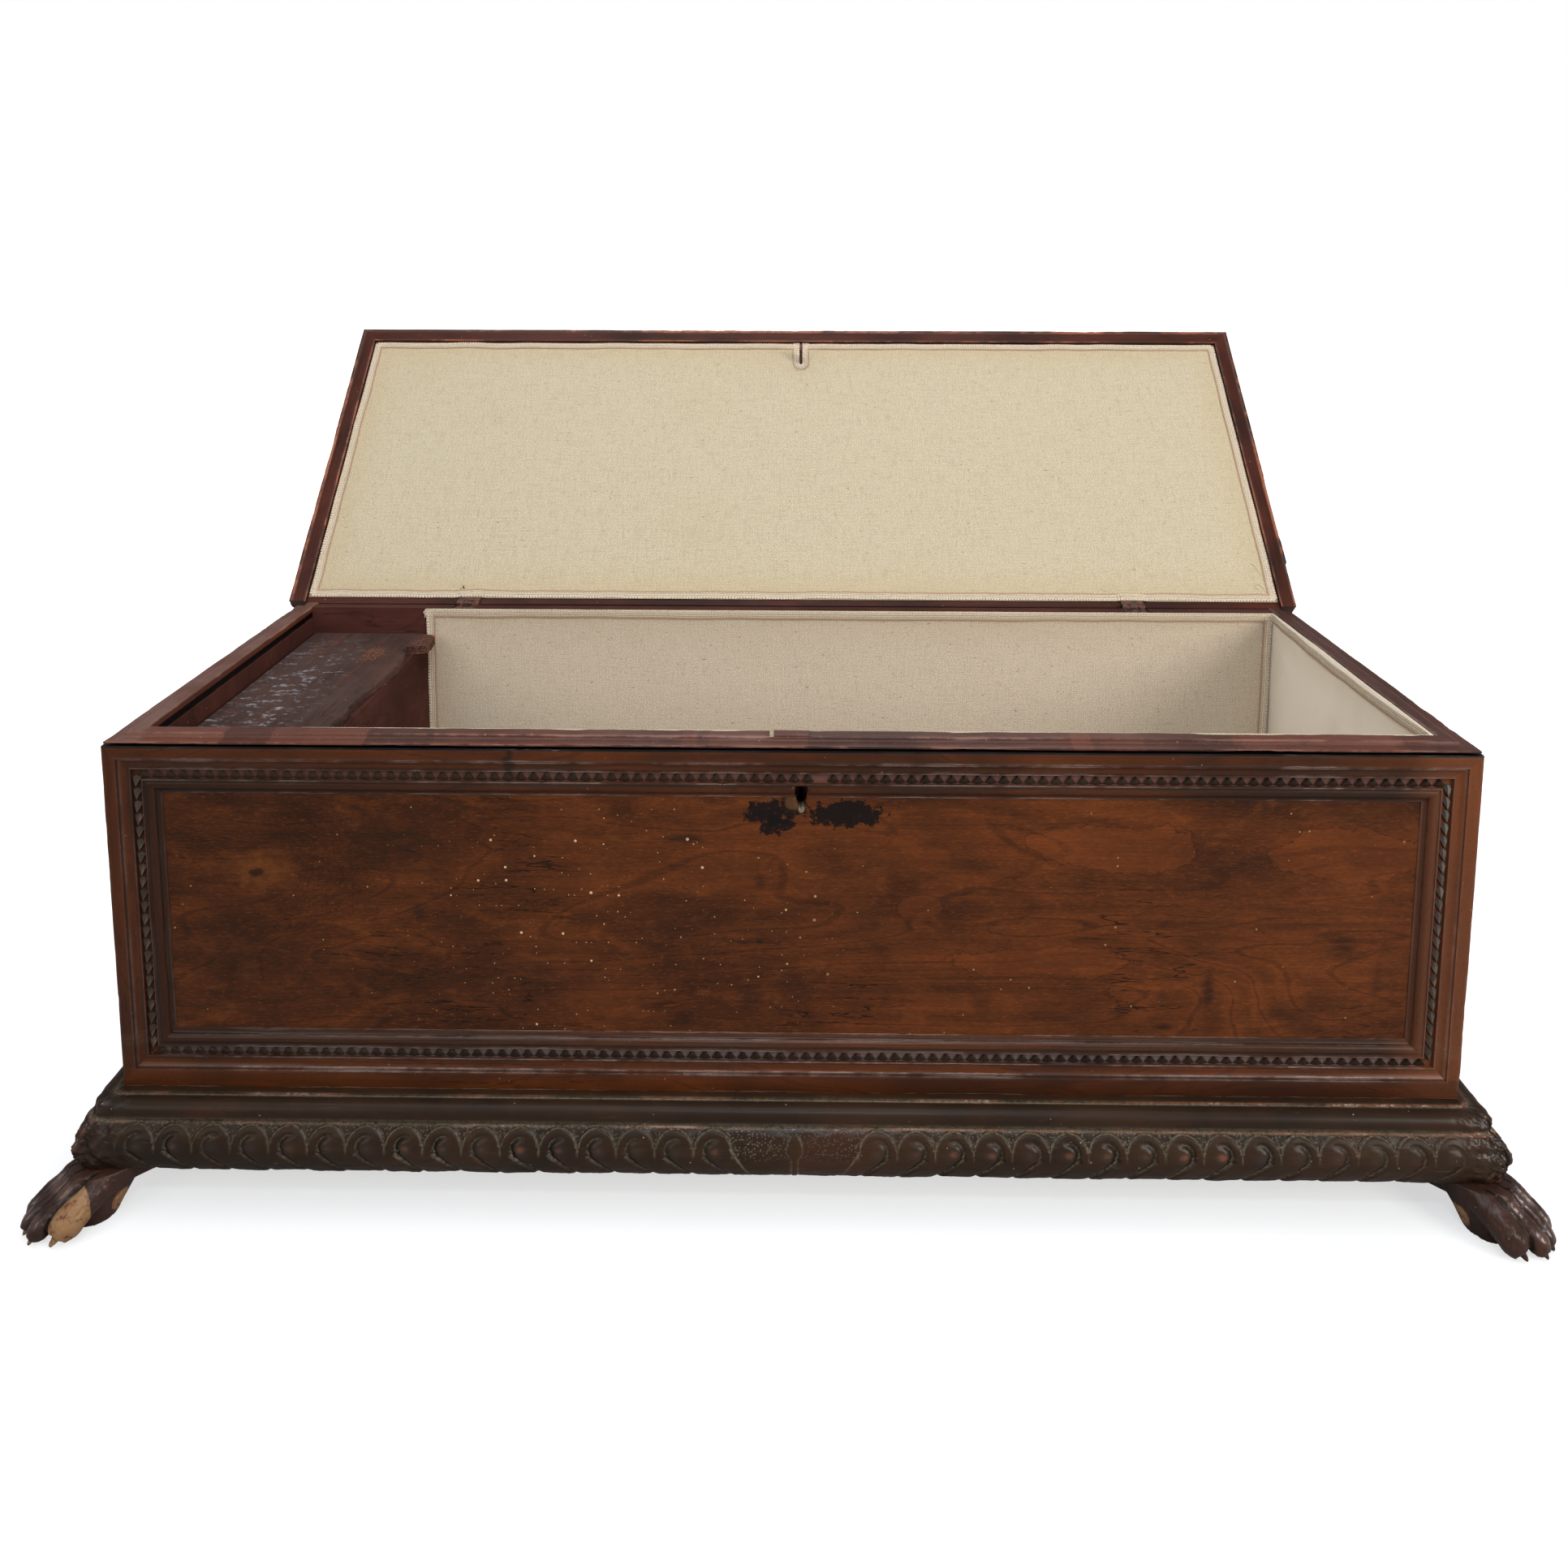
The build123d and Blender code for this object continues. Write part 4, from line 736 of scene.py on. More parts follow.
def make_mesh(name, points, faces, masks=None, smooth_angle=SHARP_ANGLE):
    """A mesh from points in millimetres; masks are values on its points."""
    mesh = bpy.data.meshes.new(name)
    mesh.from_pydata((np.asarray(points, float) * MM).tolist(), [], faces)
    give_masks(mesh, masks or {})
    shaped = bmesh.new()
    shaped.from_mesh(mesh)
    bmesh.ops.recalc_face_normals(shaped, faces=shaped.faces)
    shaped.to_mesh(mesh)
    shaped.free()
    soften(mesh, smooth_angle)
    return mesh


def show(mesh, name, body, material, replaces=()):
    """Put a finished mesh in the scene on its body."""
    mesh.materials.clear()
    mesh.materials.append(material)
    piece = place_object(name, mesh)
    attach(piece, body)
    if replaces:
        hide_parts(*replaces)
    return piece


def joined(name, meshes):
    """Several meshes as one, with their masks."""
    shaped = bmesh.new()
    for mesh in meshes:
        shaped.from_mesh(mesh)
    total = bpy.data.meshes.new(name)
    shaped.to_mesh(total)
    shaped.free()
    soften(total)
    return total


def applied(piece, name):
    """The piece's evaluated mesh as a plain mesh; the piece itself goes."""
    view = bpy.context.evaluated_depsgraph_get()
    mesh = bpy.data.meshes.new_from_object(piece.evaluated_get(view))
    mesh.name = name
    bpy.data.objects.remove(piece)
    return mesh


def bend(start, end, middle, steps=6):
    """Points of an arc through a middle given by its share of the way in x and in y."""
    a = np.array(start, float)
    c = np.array(end, float)
    b = a + (c - a) * np.array(middle)
    d = 2 * (a[0] * (b[1] - c[1]) + b[0] * (c[1] - a[1]) + c[0] * (a[1] - b[1]))
    squares = (a @ a, b @ b, c @ c)
    ux = (squares[0] * (b[1] - c[1]) + squares[1] * (c[1] - a[1]) + squares[2] * (a[1] - b[1])) / d
    uy = (squares[0] * (c[0] - b[0]) + squares[1] * (a[0] - c[0]) + squares[2] * (b[0] - a[0])) / d
    centre = np.array((ux, uy))
    angles = [math.atan2(*(p - centre)[::-1]) for p in (a, b, c)]
    sweep = (angles[2] - angles[0]) % (2 * math.pi)
    if (angles[1] - angles[0]) % (2 * math.pi) > sweep:
        sweep -= 2 * math.pi
    radius = np.linalg.norm(a - centre)
    turn = [angles[0] + sweep * i / steps for i in range(steps + 1)]
    return [tuple(centre + radius * np.array((math.cos(t), math.sin(t)))) for t in turn]


def section(outline, rounding=0.8, spacing=3.0):
    """A closed section, its corners eased and its sides divided; with edge and hollow masks."""
    raw = [np.array(p, float) for p in outline]
    corners = [p for i, p in enumerate(raw) if np.linalg.norm(p - raw[i - 1]) > 1e-6]
    count = len(corners)
    area = sum(
        corners[i - 1][0] * corners[i][1] - corners[i][0] * corners[i - 1][1] for i in range(count)
    )
    way = 1.0 if area > 0 else -1.0
    rounded = []
    sharp = []
    for i, corner in enumerate(corners):
        before = corners[i - 1] - corner
        after = corners[(i + 1) % count] - corner
        near, far = np.linalg.norm(before), np.linalg.norm(after)
        before, after = before / near, after / far
        turn = way * (after[0] * before[1] - after[1] * before[0])
        angle = math.acos(max(-1.0, min(1.0, float(-before @ after))))
        if angle < 0.35:
            rounded.append(corner)
            continue
        sharp.append((corner, turn))
        reach = min(rounding, 0.4 * near, 0.4 * far)
        for share in (0.0, 0.5, 1.0):
            first = corner + before * reach * (1 - share)
            last = corner + after * reach * share
            rounded.append(first * (1 - share) + last * share)
    points = []
    for i, point in enumerate(rounded):
        onward = rounded[(i + 1) % len(rounded)]
        pieces = max(1, math.ceil(np.linalg.norm(onward - point) / spacing))
        points += [point + (onward - point) * k / pieces for k in range(pieces)]
    points = np.array(points)
    edge = np.zeros(len(points))
    hollow = np.zeros(len(points))
    for corner, turn in sharp:
        near = np.linalg.norm(points - corner, axis=1)
        if turn > 0:
            edge = np.maximum(edge, np.exp(-((near / (1.4 + rounding)) ** 2)))
        else:
            hollow = np.maximum(hollow, np.exp(-((near / 2.6) ** 2)))
    ahead = np.roll(points, -1, axis=0) - np.roll(points, 1, axis=0)
    normal = np.stack((ahead[:, 1], -ahead[:, 0]), 1) * way
    normal /= np.linalg.norm(normal, axis=1, keepdims=True) + 1e-9
    return points, normal, edge, hollow


def run(name, outline, origin, axes, length, ends=(True, True), pitch=9.0, wear=0.6, seed=1,
        rounding=0.8, spacing=3.0, shape=None):
    """A length of moulding. axes: along it, across its section (x) and out of it (y).

    ends tells which ends are mitred; shape may move the points further. Returns its mesh.
    """
    points, normal, edge, hollow = section(outline, rounding, spacing)
    stations = max(2, round(length / pitch)) + 1
    trim = np.maximum(points[:, 0], 0)
    start = trim * ends[0] - length / 2
    finish = length / 2 - trim * ends[1]
    share = np.linspace(0, 1, stations)[:, None]
    along = start[None, :] * (1 - share) + finish[None, :] * share
    local = np.stack(
        (along, np.repeat(points[None, :, 0], stations, 0), np.repeat(points[None, :, 1], stations, 0)), -1
    ).reshape(-1, 3)
    facing = np.concatenate((np.zeros((len(points), 1)), normal), 1)
    facing = np.tile(facing, (stations, 1))
    edges = np.tile(edge, stations)
    hollows = np.tile(hollow, stations)
    worn = np.clip(0.35 + 0.5 * roughness_of(local, (140, 32, 9), seed), 0, 1.4)
    local = local - facing * (edges * worn**2 * wear)[:, None]
    local = local + facing * (0.12 * ripple(local, 55, seed + 7) * min(wear, 1.0))[:, None]
    masks = {
        "edge": edges * (0.35 + 0.65 * np.clip(worn, 0, 1)),
        "hollow": hollows,
        "top": np.clip(facing @ np.array(axes, float)[:, 2], 0, 1) ** 2,
    }
    if shape:
        local = shape(local)
    placed = np.asarray(origin, float) + local @ np.array(axes, float)
    return make_mesh(name, placed, tube_faces(stations, len(points)), masks)


def slab(low, high, name="slab", rounding=1.0, seed=1, wear=0.5, spacing=8.0):
    """A squared board between two corners, with eased edges."""
    low, high = np.array(low, float), np.array(high, float)
    size = high - low
    axis = int(np.argmax(size))
    others = [i for i in range(3) if i != axis]
    across, up = size[others[0]], size[others[1]]
    outline = [(0, 0), (across, 0), (across, up), (0, up)]
    origin = low.copy()
    origin[axis] += size[axis] / 2
    axes = [np.eye(3)[axis], np.eye(3)[others[0]], np.eye(3)[others[1]]]
    return run(name, outline, origin, axes, size[axis], (False, False), rounding=rounding, seed=seed,
               wear=wear, spacing=spacing)


def cut_with(mesh, tool_mesh):
    """The mesh with the inside of another cut out of it."""
    body, tool = place_object("stock", mesh), place_object("cutter", tool_mesh)
    cut = body.modifiers.new("cut", "BOOLEAN")
    cut.object = tool
    cut.solver = "EXACT"
    bpy.context.view_layer.update()
    done = applied(body, mesh.name)
    bpy.data.objects.remove(tool)
    return done


def cut_away(mesh, low, high):
    """The mesh with the space between two corners, in millimetres, cut out of it."""
    low, high = Vector(low) * MM, Vector(high) * MM
    tool_mesh = bpy.data.meshes.new("cutter")
    shaped = bmesh.new()
    bmesh.ops.create_cube(shaped, size=1.0)
    for point in shaped.verts:
        point.co = Vector((low[i] + high[i]) / 2 + point.co[i] * (high[i] - low[i]) for i in range(3))
    shaped.to_mesh(tool_mesh)
    shaped.free()
    return cut_with(mesh, tool_mesh)


# ---------------------------------------------------------------------------
# Rows of repeated ornament, made by Geometry Nodes along a path
# ---------------------------------------------------------------------------


def build_row_tree():
    """Copies of a unit along a path, facing the way the path's points say."""
    tree = bpy.data.node_groups.new("ornament_row", "GeometryNodeTree")
    for label, kind, value in (
        ("Geometry", "Geometry", None), ("Unit", "Object", None), ("Pitch", "Float", 0.015),
        ("Least height", "Float", 0.8), ("Slant", "Float", 0.05), ("Seed", "Int", 1),
        ("Gap", "Vector", (9.0, 9.0, 9.0)), ("Gap reach", "Float", 0.005), ("Finish", "Material", None),
    ):
        socket = tree.interface.new_socket(label, in_out="INPUT", socket_type=f"NodeSocket{kind}")
        if value is not None:
            socket.default_value = value
    tree.interface.new_socket("Geometry", in_out="OUTPUT", socket_type="NodeSocketGeometry")
    given = tree.nodes.new("NodeGroupInput").outputs

    def step(kind, inputs=None, which=0, **settings):
        return put(tree, kind, inputs, **settings).outputs[which]

    facing = step("GeometryNodeInputNamedAttribute", {"Name": "facing"}, data_type="FLOAT_VECTOR")
    directions = {"Primary Axis": facing, "Secondary Axis": step("GeometryNodeInputTangent")}
    turned = step("FunctionNodeAxesToRotation", directions, primary_axis="Z", secondary_axis="X")
    chance = {"Min": (0, 0, 0), "Max": (0, 0, 1), "Seed": given["Seed"]}
    slant = step("FunctionNodeRandomValue", chance, data_type="FLOAT_VECTOR")
    slant = step("ShaderNodeVectorMath", {0: slant, 1: (0, 0, 0.5)}, operation="SUBTRACT")
    slant = step("ShaderNodeVectorMath", {0: slant, "Scale": given["Slant"]}, operation="SCALE")
    turns = {"Rotation": turned, "Rotate By": step("FunctionNodeEulerToRotation", {0: slant})}
    chance = {2: given["Least height"], 3: 1.0, "Seed": given["Seed"]}
    height = step("FunctionNodeRandomValue", chance, 1, data_type="FLOAT")
    place = step("GeometryNodeInputPosition")
    away = step("ShaderNodeVectorMath", {0: place, 1: given["Gap"]}, 1, operation="DISTANCE")
    path = step("GeometryNodeMeshToCurve", {"Mesh": given["Geometry"]})
    copies = step("GeometryNodeInstanceOnPoints", {
        "Points": step("GeometryNodeResampleCurve", {"Curve": path, "Length": given["Pitch"]}, mode="LENGTH"),
        "Selection": step("FunctionNodeCompare", {0: away, 1: given["Gap reach"]}, operation="GREATER_THAN"),
        "Instance": put(tree, "GeometryNodeObjectInfo", {"Object": given["Unit"]}).outputs["Geometry"],
        "Rotation": step("FunctionNodeRotateRotation", turns, rotation_space="LOCAL"),
        "Scale": step("ShaderNodeCombineXYZ", {0: 1.0, 1: 1.0, 2: height}),
    })
    real = step("GeometryNodeRealizeInstances", {0: copies})
    finished = step("GeometryNodeSetMaterial", {"Geometry": real, "Material": given["Finish"]})
    put(tree, "NodeGroupOutput", {0: finished})
    return tree


ROW_TREE = build_row_tree()


def row(name, paths, unit_mesh, pitch, material, least=0.8, slant=0.05, seed=1, gap=None, gap_reach=8.0):
    """A row of units along paths; each path is its points and the way they face, in millimetres."""
    mesh = bpy.data.meshes.new(name)
    points, lines, facing = [], [], []
    for path, way in paths:
        first = len(points)
        points += [tuple(np.array(p, float) * MM) for p in path]
        ways = way if isinstance(way, list) else [way] * len(path)
        facing += [tuple(w) for w in ways]
        lines += [(first + i, first + i + 1) for i in range(len(path) - 1)]
    mesh.from_pydata(points, lines, [])
    layer = mesh.attributes.new("facing", "FLOAT_VECTOR", "POINT")
    layer.data.foreach_set("vector", np.array(facing, np.float32).ravel())
    carrier, unit = place_object(name, mesh), place_object("unit", unit_mesh)
    maker = carrier.modifiers.new("row", "NODES")
    maker.node_group = ROW_TREE
    sockets = {s.name: s.identifier for s in ROW_TREE.interface.items_tree if s.in_out == "INPUT"}
    values = {
        "Unit": unit, "Pitch": pitch * MM, "Least height": least, "Slant": slant, "Seed": seed,
        "Finish": material,
    }
    if gap:
        values |= {"Gap": [c * MM for c in gap], "Gap reach": gap_reach * MM}
    for label, value in values.items():
        maker[sockets[label]] = value
    bpy.context.view_layer.update()
    copies = applied(carrier, name)
    bpy.data.objects.remove(unit)
    return copies


def tooth_unit(pitch, band, rise, upright):
    """One dogtooth: a kite-shaped point whose tip stands near its narrow end; upright ones point down. Its
    masks carry painted light: the facets turned to the light are painted lighter, and the feet of the facets
    get painted shade.
    """
    half, deep = pitch / 2, band / 2
    wide, narrow = (deep, half) if upright else (half, deep)
    corners = [(-wide, -0.75 * narrow, 0), (0, -narrow, 0), (wide, -0.75 * narrow, 0), (0, narrow, 0)]
    tip = (0, 0.72 * narrow, rise)
    points, faces, edge, hollow = [], [], [], []
    # How far each facet is painted lighter: a painted highlight on the facets turned to the light, none on the
    # lower ones
    for side, rubbed in enumerate((0.45, 0.35, 0.0, 0.05) if upright else (0.0, 0.12, 0.35, 0.15)):
        first = len(points)
        points += [corners[side], corners[(side + 1) % 4], tip]
        faces.append((first, first + 1, first + 2))
        edge += [rubbed * 0.7, rubbed * 0.7, rubbed]
        # Painted shade at the feet of the facets, through the hollow mask
        hollow += [0.3, 0.3, 0.0]
    first = len(points)
    points += corners
    faces.append((first + 3, first + 2, first + 1, first))
    if upright:
        points = [(y, -x, z) for x, y, z in points]
    return make_mesh("tooth", points, faces, {"edge": edge + [0.0] * 4, "hollow": hollow + [1.0] * 4}, 12)


def spindle(centre, reach, width, height, turn=0.0, thread=0.0):
    """A short plump strand of yarn, for a braid unit: its points, faces and masks."""
    ring = []
    sides = 5
    along = np.array((math.cos(turn), math.sin(turn), 0))
    side = np.array((-math.sin(turn), math.cos(turn), 0))
    middle = np.array(centre, float)
    for shift, size in ((-0.5, 0.0), (-0.25, 0.85), (0.25, 0.85), (0.5, 0.0)):
        count = 1 if size == 0 else sides
        for k in range(count):
            angle = 2 * math.pi * k / sides
            ring.append(
                middle + along * reach * shift + side * width / 2 * size * math.cos(angle)
                + Z_AXIS * height / 2 * size * math.sin(angle)
            )
    faces = [(0, 1 + k, 1 + (k + 1) % sides) for k in range(sides)]
    faces += [(1 + k, 1 + sides + k, 1 + sides + (k + 1) % sides, 1 + (k + 1) % sides) for k in range(sides)]
    last = 1 + 2 * sides
    faces += [(last, 1 + sides + (k + 1) % sides, 1 + sides + k) for k in range(sides)]
    return ring, faces, [thread] * len(ring)


def braid_unit(pitch, width, thick):
    """One repeat of the gimp, lying along X, from the scalloped edge at -Y to the stitches."""
    top = thick
    out = -width / 2
    parts = [spindle((0, out + 1.7, top * 0.5), pitch * 0.9, 3.6, top * 1.1)]
    for reach, turn in ((4.1, 0.62), (7.2, -0.62)):
        parts += [spindle((x, out + reach, top * 0.62), 4.6, 2.0, top * 1.1, turn) for x in (0, pitch / 2)]
    parts += [
        spindle((0, out + 10.0, top * 0.5), pitch * 1.05, 2.0, top),
        spindle((0, out + 12.6, top * 0.5), pitch * 0.72, 1.5, top, 0.3, 1.0),
        spindle((pitch / 2, out + 14.0, top * 0.3), pitch * 0.5, 1.0, top * 0.8, -0.5, 0.8),
    ]
    points, faces, thread = [], [], []
    for ring, sides, mask in parts:
        first = len(points)
        points += ring
        faces += [tuple(first + i for i in face) for face in sides]
        thread += mask
    first = len(points)
    half = pitch * 0.52
    low, high = 2.6 - width / 2, width / 2 - 1.0
    base = [(-half, low, 0), (half, low, 0), (half, high, 0), (-half, high, 0)]
    points += [np.array(p, float) for p in base] + [np.array((x, y, top * 0.35)) for x, y, _ in base]
    faces += [
        tuple(first + i for i in face)
        for face in ((3, 2, 1, 0), (4, 5, 6, 7), (0, 1, 5, 4), (1, 2, 6, 5), (2, 3, 7, 6), (3, 0, 4, 7))
    ]
    # hollow marks the backing plate, which gimp_finish paints as shade between the strands
    masks = {"edge": thread + [0.0] * 8, "hollow": [0.0] * len(thread) + [1.0] * 8}
    return make_mesh("braid_unit", np.array(points), faces, masks, 60)


# ---------------------------------------------------------------------------
# Frame round the front panel, and the frames on the two ends
# ---------------------------------------------------------------------------


def front_frame_section(plinth=0.0):
    return (
        [(62, 0), (-plinth, 0), (-plinth, 14), (16, 14), (16, 12), (18, 12)]
        + bend((18, 12), (28, 8), (0.35, 0.7))
        + [(28, 9.5), (30, 9.5), (30, 5), (42, 5), (42, 9.5), (44, 9.5), (44, 8), (46, 8)]
        + bend((46, 8), (56, 5), (0.55, -0.333))
        + [(56, 3)]
        + bend((56, 3), (62, 1), (0.4, 0.67), 4)
    )


def rectangle_edges(middle, right, up, out, width, height):
    """The four outer edges of a rectangle: origin, axes and length of each."""
    middle = np.array(middle, float)
    return {
        "bottom_rail": (middle - up * height / 2, (right, up, out), width),
        "right_stile": (middle + right * width / 2, (up, -right, out), height),
        "top_rail": (middle + up * height / 2, (-right, -up, out), width),
        "left_stile": (middle - right * width / 2, (-up, right, out), height),
    }


KEYHOLE = [(8.5, 520), (22.5, 520), (23.3, 514), (21.6, 509), (22.4, 503), (20.6, 497), (18.6, 492),
           (15.4, 487.5), (12.6, 491), (10.2, 496), (9.4, 501), (6.9, 504), (6.5, 508), (8.2, 512)]


def keyhole_cut(mesh, y_low, y_high):
    """Cut the broken-out keyhole through a mesh."""
    ring = [(x, y, z) for y in (y_low, y_high) for x, z in KEYHOLE]
    return cut_with(mesh, make_mesh("cutter", ring, tube_faces(2, len(KEYHOLE))))


FRAME_MIDDLE = (0, BOARD_FRONT, (FRAME_TOP + FRAME_FOOT) / 2)
edges = rectangle_edges(FRAME_MIDDLE, X_AXIS, Z_AXIS, -Y_AXIS, 2 * HALF_WIDTH, FRAME_TOP - FRAME_FOOT)
for index, (place, (origin, axes, length)) in enumerate(edges.items()):
    name = f"frame_{place}"
    outline = front_frame_section(7.0 if place == "bottom_rail" else 0.0)
    mesh = run(name, outline, origin, axes, length, seed=20 + index, rounding=0.7, spacing=1.8, pitch=7,
               wear=0.9 if place == "bottom_rail" else 0.6)
    if place == "top_rail":
        mesh = keyhole_cut(mesh, FRONT_FACE - 5, BOARD_FRONT + 5)
    grain = "z" if "stile" in place else "x"
    show(mesh, name + "_carved", "case", FRAME_WOOD[grain], [name])

TOOTH_WOOD = wood("dogtooth_walnut", "x", TOOTH_TONES, TOOTH_GLOSS, TOOTH_WEAR, bump=0.1)
TOOTH_BAND, TOOTH_RISE, TOOTH_PITCH = 11.6, 5.6, 15.2
TOOTH_BACK = BOARD_FRONT - 5.8
TOOTH_SIDE, TOOTH_HEAD, TOOTH_FOOT = 764, 529, 180
teeth = {
    "top_rail": ((-TOOTH_SIDE, TOOTH_HEAD), (TOOTH_SIDE, TOOTH_HEAD)),
    "right_stile": ((TOOTH_SIDE, TOOTH_HEAD), (TOOTH_SIDE, TOOTH_FOOT)),
    "bottom_rail": ((-TOOTH_SIDE, TOOTH_FOOT), (TOOTH_SIDE, TOOTH_FOOT)),
    "left_stile": ((-TOOTH_SIDE, TOOTH_HEAD), (-TOOTH_SIDE, TOOTH_FOOT)),
}
for index, (place, ends) in enumerate(teeth.items()):
    length = math.dist(*ends)
    count = round(length / TOOTH_PITCH)
    pitch = (length - 4) / count
    a, b = (np.array((x, TOOTH_BACK, z)) for x, z in ends)
    way = (b - a) / length
    inset = way * (2 + length / count / 2)
    unit = tooth_unit(pitch, TOOTH_BAND, TOOTH_RISE, "stile" in place)
    gap = (35, TOOTH_BACK, TOOTH_HEAD) if place == "top_rail" else None
    mesh = row(f"dogtooth_{place}", [([a + inset, b - inset], -Y_AXIS)], unit, pitch, TOOTH_WOOD,
               seed=5 + index, gap=gap, gap_reach=7.5)
    show(mesh, f"dogtooth_{place}_cut", "case", TOOTH_WOOD, [f"dogtooth_{place}"])

END_SECTION = (
    [(53, 0), (0, 0), (0, 14), (34, 14)] + bend((34, 14), (50, 3), (0.66, 0.38), 8) + [(53, 3)]
)
for side_name, side in (("left", -1), ("right", 1)):
    middle = (side * BOARD_SIDE, 7, (FRAME_TOP + BASE_TOP) / 2)
    members = rectangle_edges(middle, Y_AXIS * side, Z_AXIS, X_AXIS * side, 546, FRAME_TOP - BASE_TOP)
    meshes = [
        run(f"end_{place}", END_SECTION, origin, axes, length, seed=40 + index, rounding=1.0, wear=0.6)
        for index, (place, (origin, axes, length)) in enumerate(members.items())
    ]
    name = f"{side_name}_end_frame"
    show(joined(name, meshes), name + "_worn", "case", FRAME_WOOD["y"], [name])

board = slab((-BOARD_SIDE, BOARD_FRONT, 62), (BOARD_SIDE, INNER_FRONT, 558), "front_board", seed=3)
board = keyhole_cut(board, BOARD_FRONT - 5, INNER_FRONT + 5)
show(board, "front_board_panel", "case", PANEL_WOOD, ["front_board"])

# ---------------------------------------------------------------------------
# Rim of the case
# ---------------------------------------------------------------------------

RIM_SECTION = [(0, 0), (0, -3), (12, -3), (12, -12), (36, -12), (36, 5), (18, 5), (16, 0)]
RAIL_X, RAIL_FRONT = 798.0, -278.0
rim_rails = {
    "front_rim_rail": ((0, RAIL_FRONT, LEDGE), (X_AXIS, Y_AXIS, Z_AXIS), 2 * RAIL_X, (1, 1), "x"),
    "left_rim_rail": ((-RAIL_X, 1, LEDGE), (-Y_AXIS, X_AXIS, Z_AXIS), 558, (0, 1), "y"),
    "right_rim_rail": ((RAIL_X, 1, LEDGE), (Y_AXIS, -X_AXIS, Z_AXIS), 558, (1, 0), "y"),
}
for index, (name, (origin, axes, length, ends, grain)) in enumerate(rim_rails.items()):
    mesh = run(name, RIM_SECTION, origin, axes, length, ends, seed=60 + index, rounding=1.4, spacing=2.0,
               pitch=5, wear=1.0)
    if name == "front_rim_rail":
        mesh = cut_away(mesh, (-22, -260, 566), (25, -241, 580))
    show(mesh, name + "_worn", "case", RIM_WOOD[grain], [name])

patch = slab((-17, -259.9, 566), (24.9, -242, 575.8), "rim_patch", 1.6, 9, 0.8, 3.0)
show(patch, "rim_patch_worn", "case", RIM_WOOD["x"], ["rim_patch"])

# ---------------------------------------------------------------------------
# Gadrooned base
# ---------------------------------------------------------------------------

BASE_REACH = 60.0
CORNER_ROUND = 14.0
GADROON_HEIGHT = 62.0
BASE_SECTION = (
    [(0, 0), (50, 0)]
    + bend((50, 0), (46, 59), (-2.5, 0.46), 14)
    + [(44, 59), (44, 67)]
    + bend((44, 67), (24, 77), (0.2, 0.75), 10)
    + [(24, 80), (0, 80)]
)


def groove_line():
    """Middle of the groove that outlines a lobe: round its head, then aslant to the foot."""
    top = GADROON_HEIGHT
    head = [(-0.5 + 12 * math.cos(t), top - 22.6 + 12 * math.sin(t)) for t in np.linspace(2.2, -0.6, 22)]
    tail = [(12 - 28 * s - 3 * s * s, top - 30 - 31 * s) for s in np.linspace(0, 1, 22)]
    return np.array(head + tail)


def lobe_relief(u, v):
    """Depth under the surface around one lobe, its tail to the left, and the line of its groove."""
    line = groove_line()
    away = np.stack((u, v), -1)[:, None, :] - line[None, :, :]
    distance = np.linalg.norm(away, axis=2)
    nearest = distance.argmin(1)
    least = distance.min(1)
    heading = np.gradient(line, axis=0)[nearest]
    offset = away[np.arange(len(u)), nearest]
    inside = heading[:, 0] * offset[:, 1] - heading[:, 1] * offset[:, 0] < 0
    fade = np.clip(nearest / 9, 0, 1) * np.clip((43 - nearest) / 6 + 0.5, 0, 1)
    width = np.where(inside, 4.6, 1.5)
    return 4.0 * np.exp(-((least / width) ** 2)) * fade, np.exp(-((least / 0.85) ** 2)) * fade


def middle_relief(along, height, left, right, centre, depth, line, ground):
    """The plain middle of the front: punched ground, sunk a little, with a bud on its stem."""
    low = np.clip(GADROON_HEIGHT - 20 - height, 0, None)
    from_left, from_right = along - (left + 20 + 0.62 * low), (right - 20 - 0.62 * low) - along
    within = np.clip(np.minimum(from_left, from_right) / 1.6, 0, 1) * (height <= GADROON_HEIGHT - 20)
    plain = (np.minimum(from_left, from_right) > 0) & (height <= GADROON_HEIGHT - 20)
    sunk = np.clip((height - 4) / 34, 0.25, 1)
    depth = np.where(plain, 1.9 * within * sunk, depth)
    border = np.exp(-((np.minimum(np.abs(from_left), np.abs(from_right)) / 0.9) ** 2))
    line = np.where(plain, 0, line)
    line = np.maximum(line, border * (height <= GADROON_HEIGHT - 20))
    ground = np.maximum(ground, within * np.clip((height - 24) / 12, 0, 1))
    shoulder = GADROON_HEIGHT - 24
    arch = 9.5 * np.sqrt(np.clip(1 - ((height - shoulder) / 19) ** 2, 0, 1))
    half = np.where(height > shoulder, arch, np.interp(height, (0, shoulder - 9, shoulder), (4, 4, 9.5)))
    outside = np.abs(along - centre) - half
    bud = (outside < 0) & (height < GADROON_HEIGHT - 5)
    outline = np.exp(-((outside / 0.9) ** 2)) * (height < GADROON_HEIGHT - 5)
    depth = np.where(bud, 0.0, depth) + 1.1 * outline
    return depth, np.maximum(np.where(bud, 0, line), outline), np.where(bud, 0, ground)


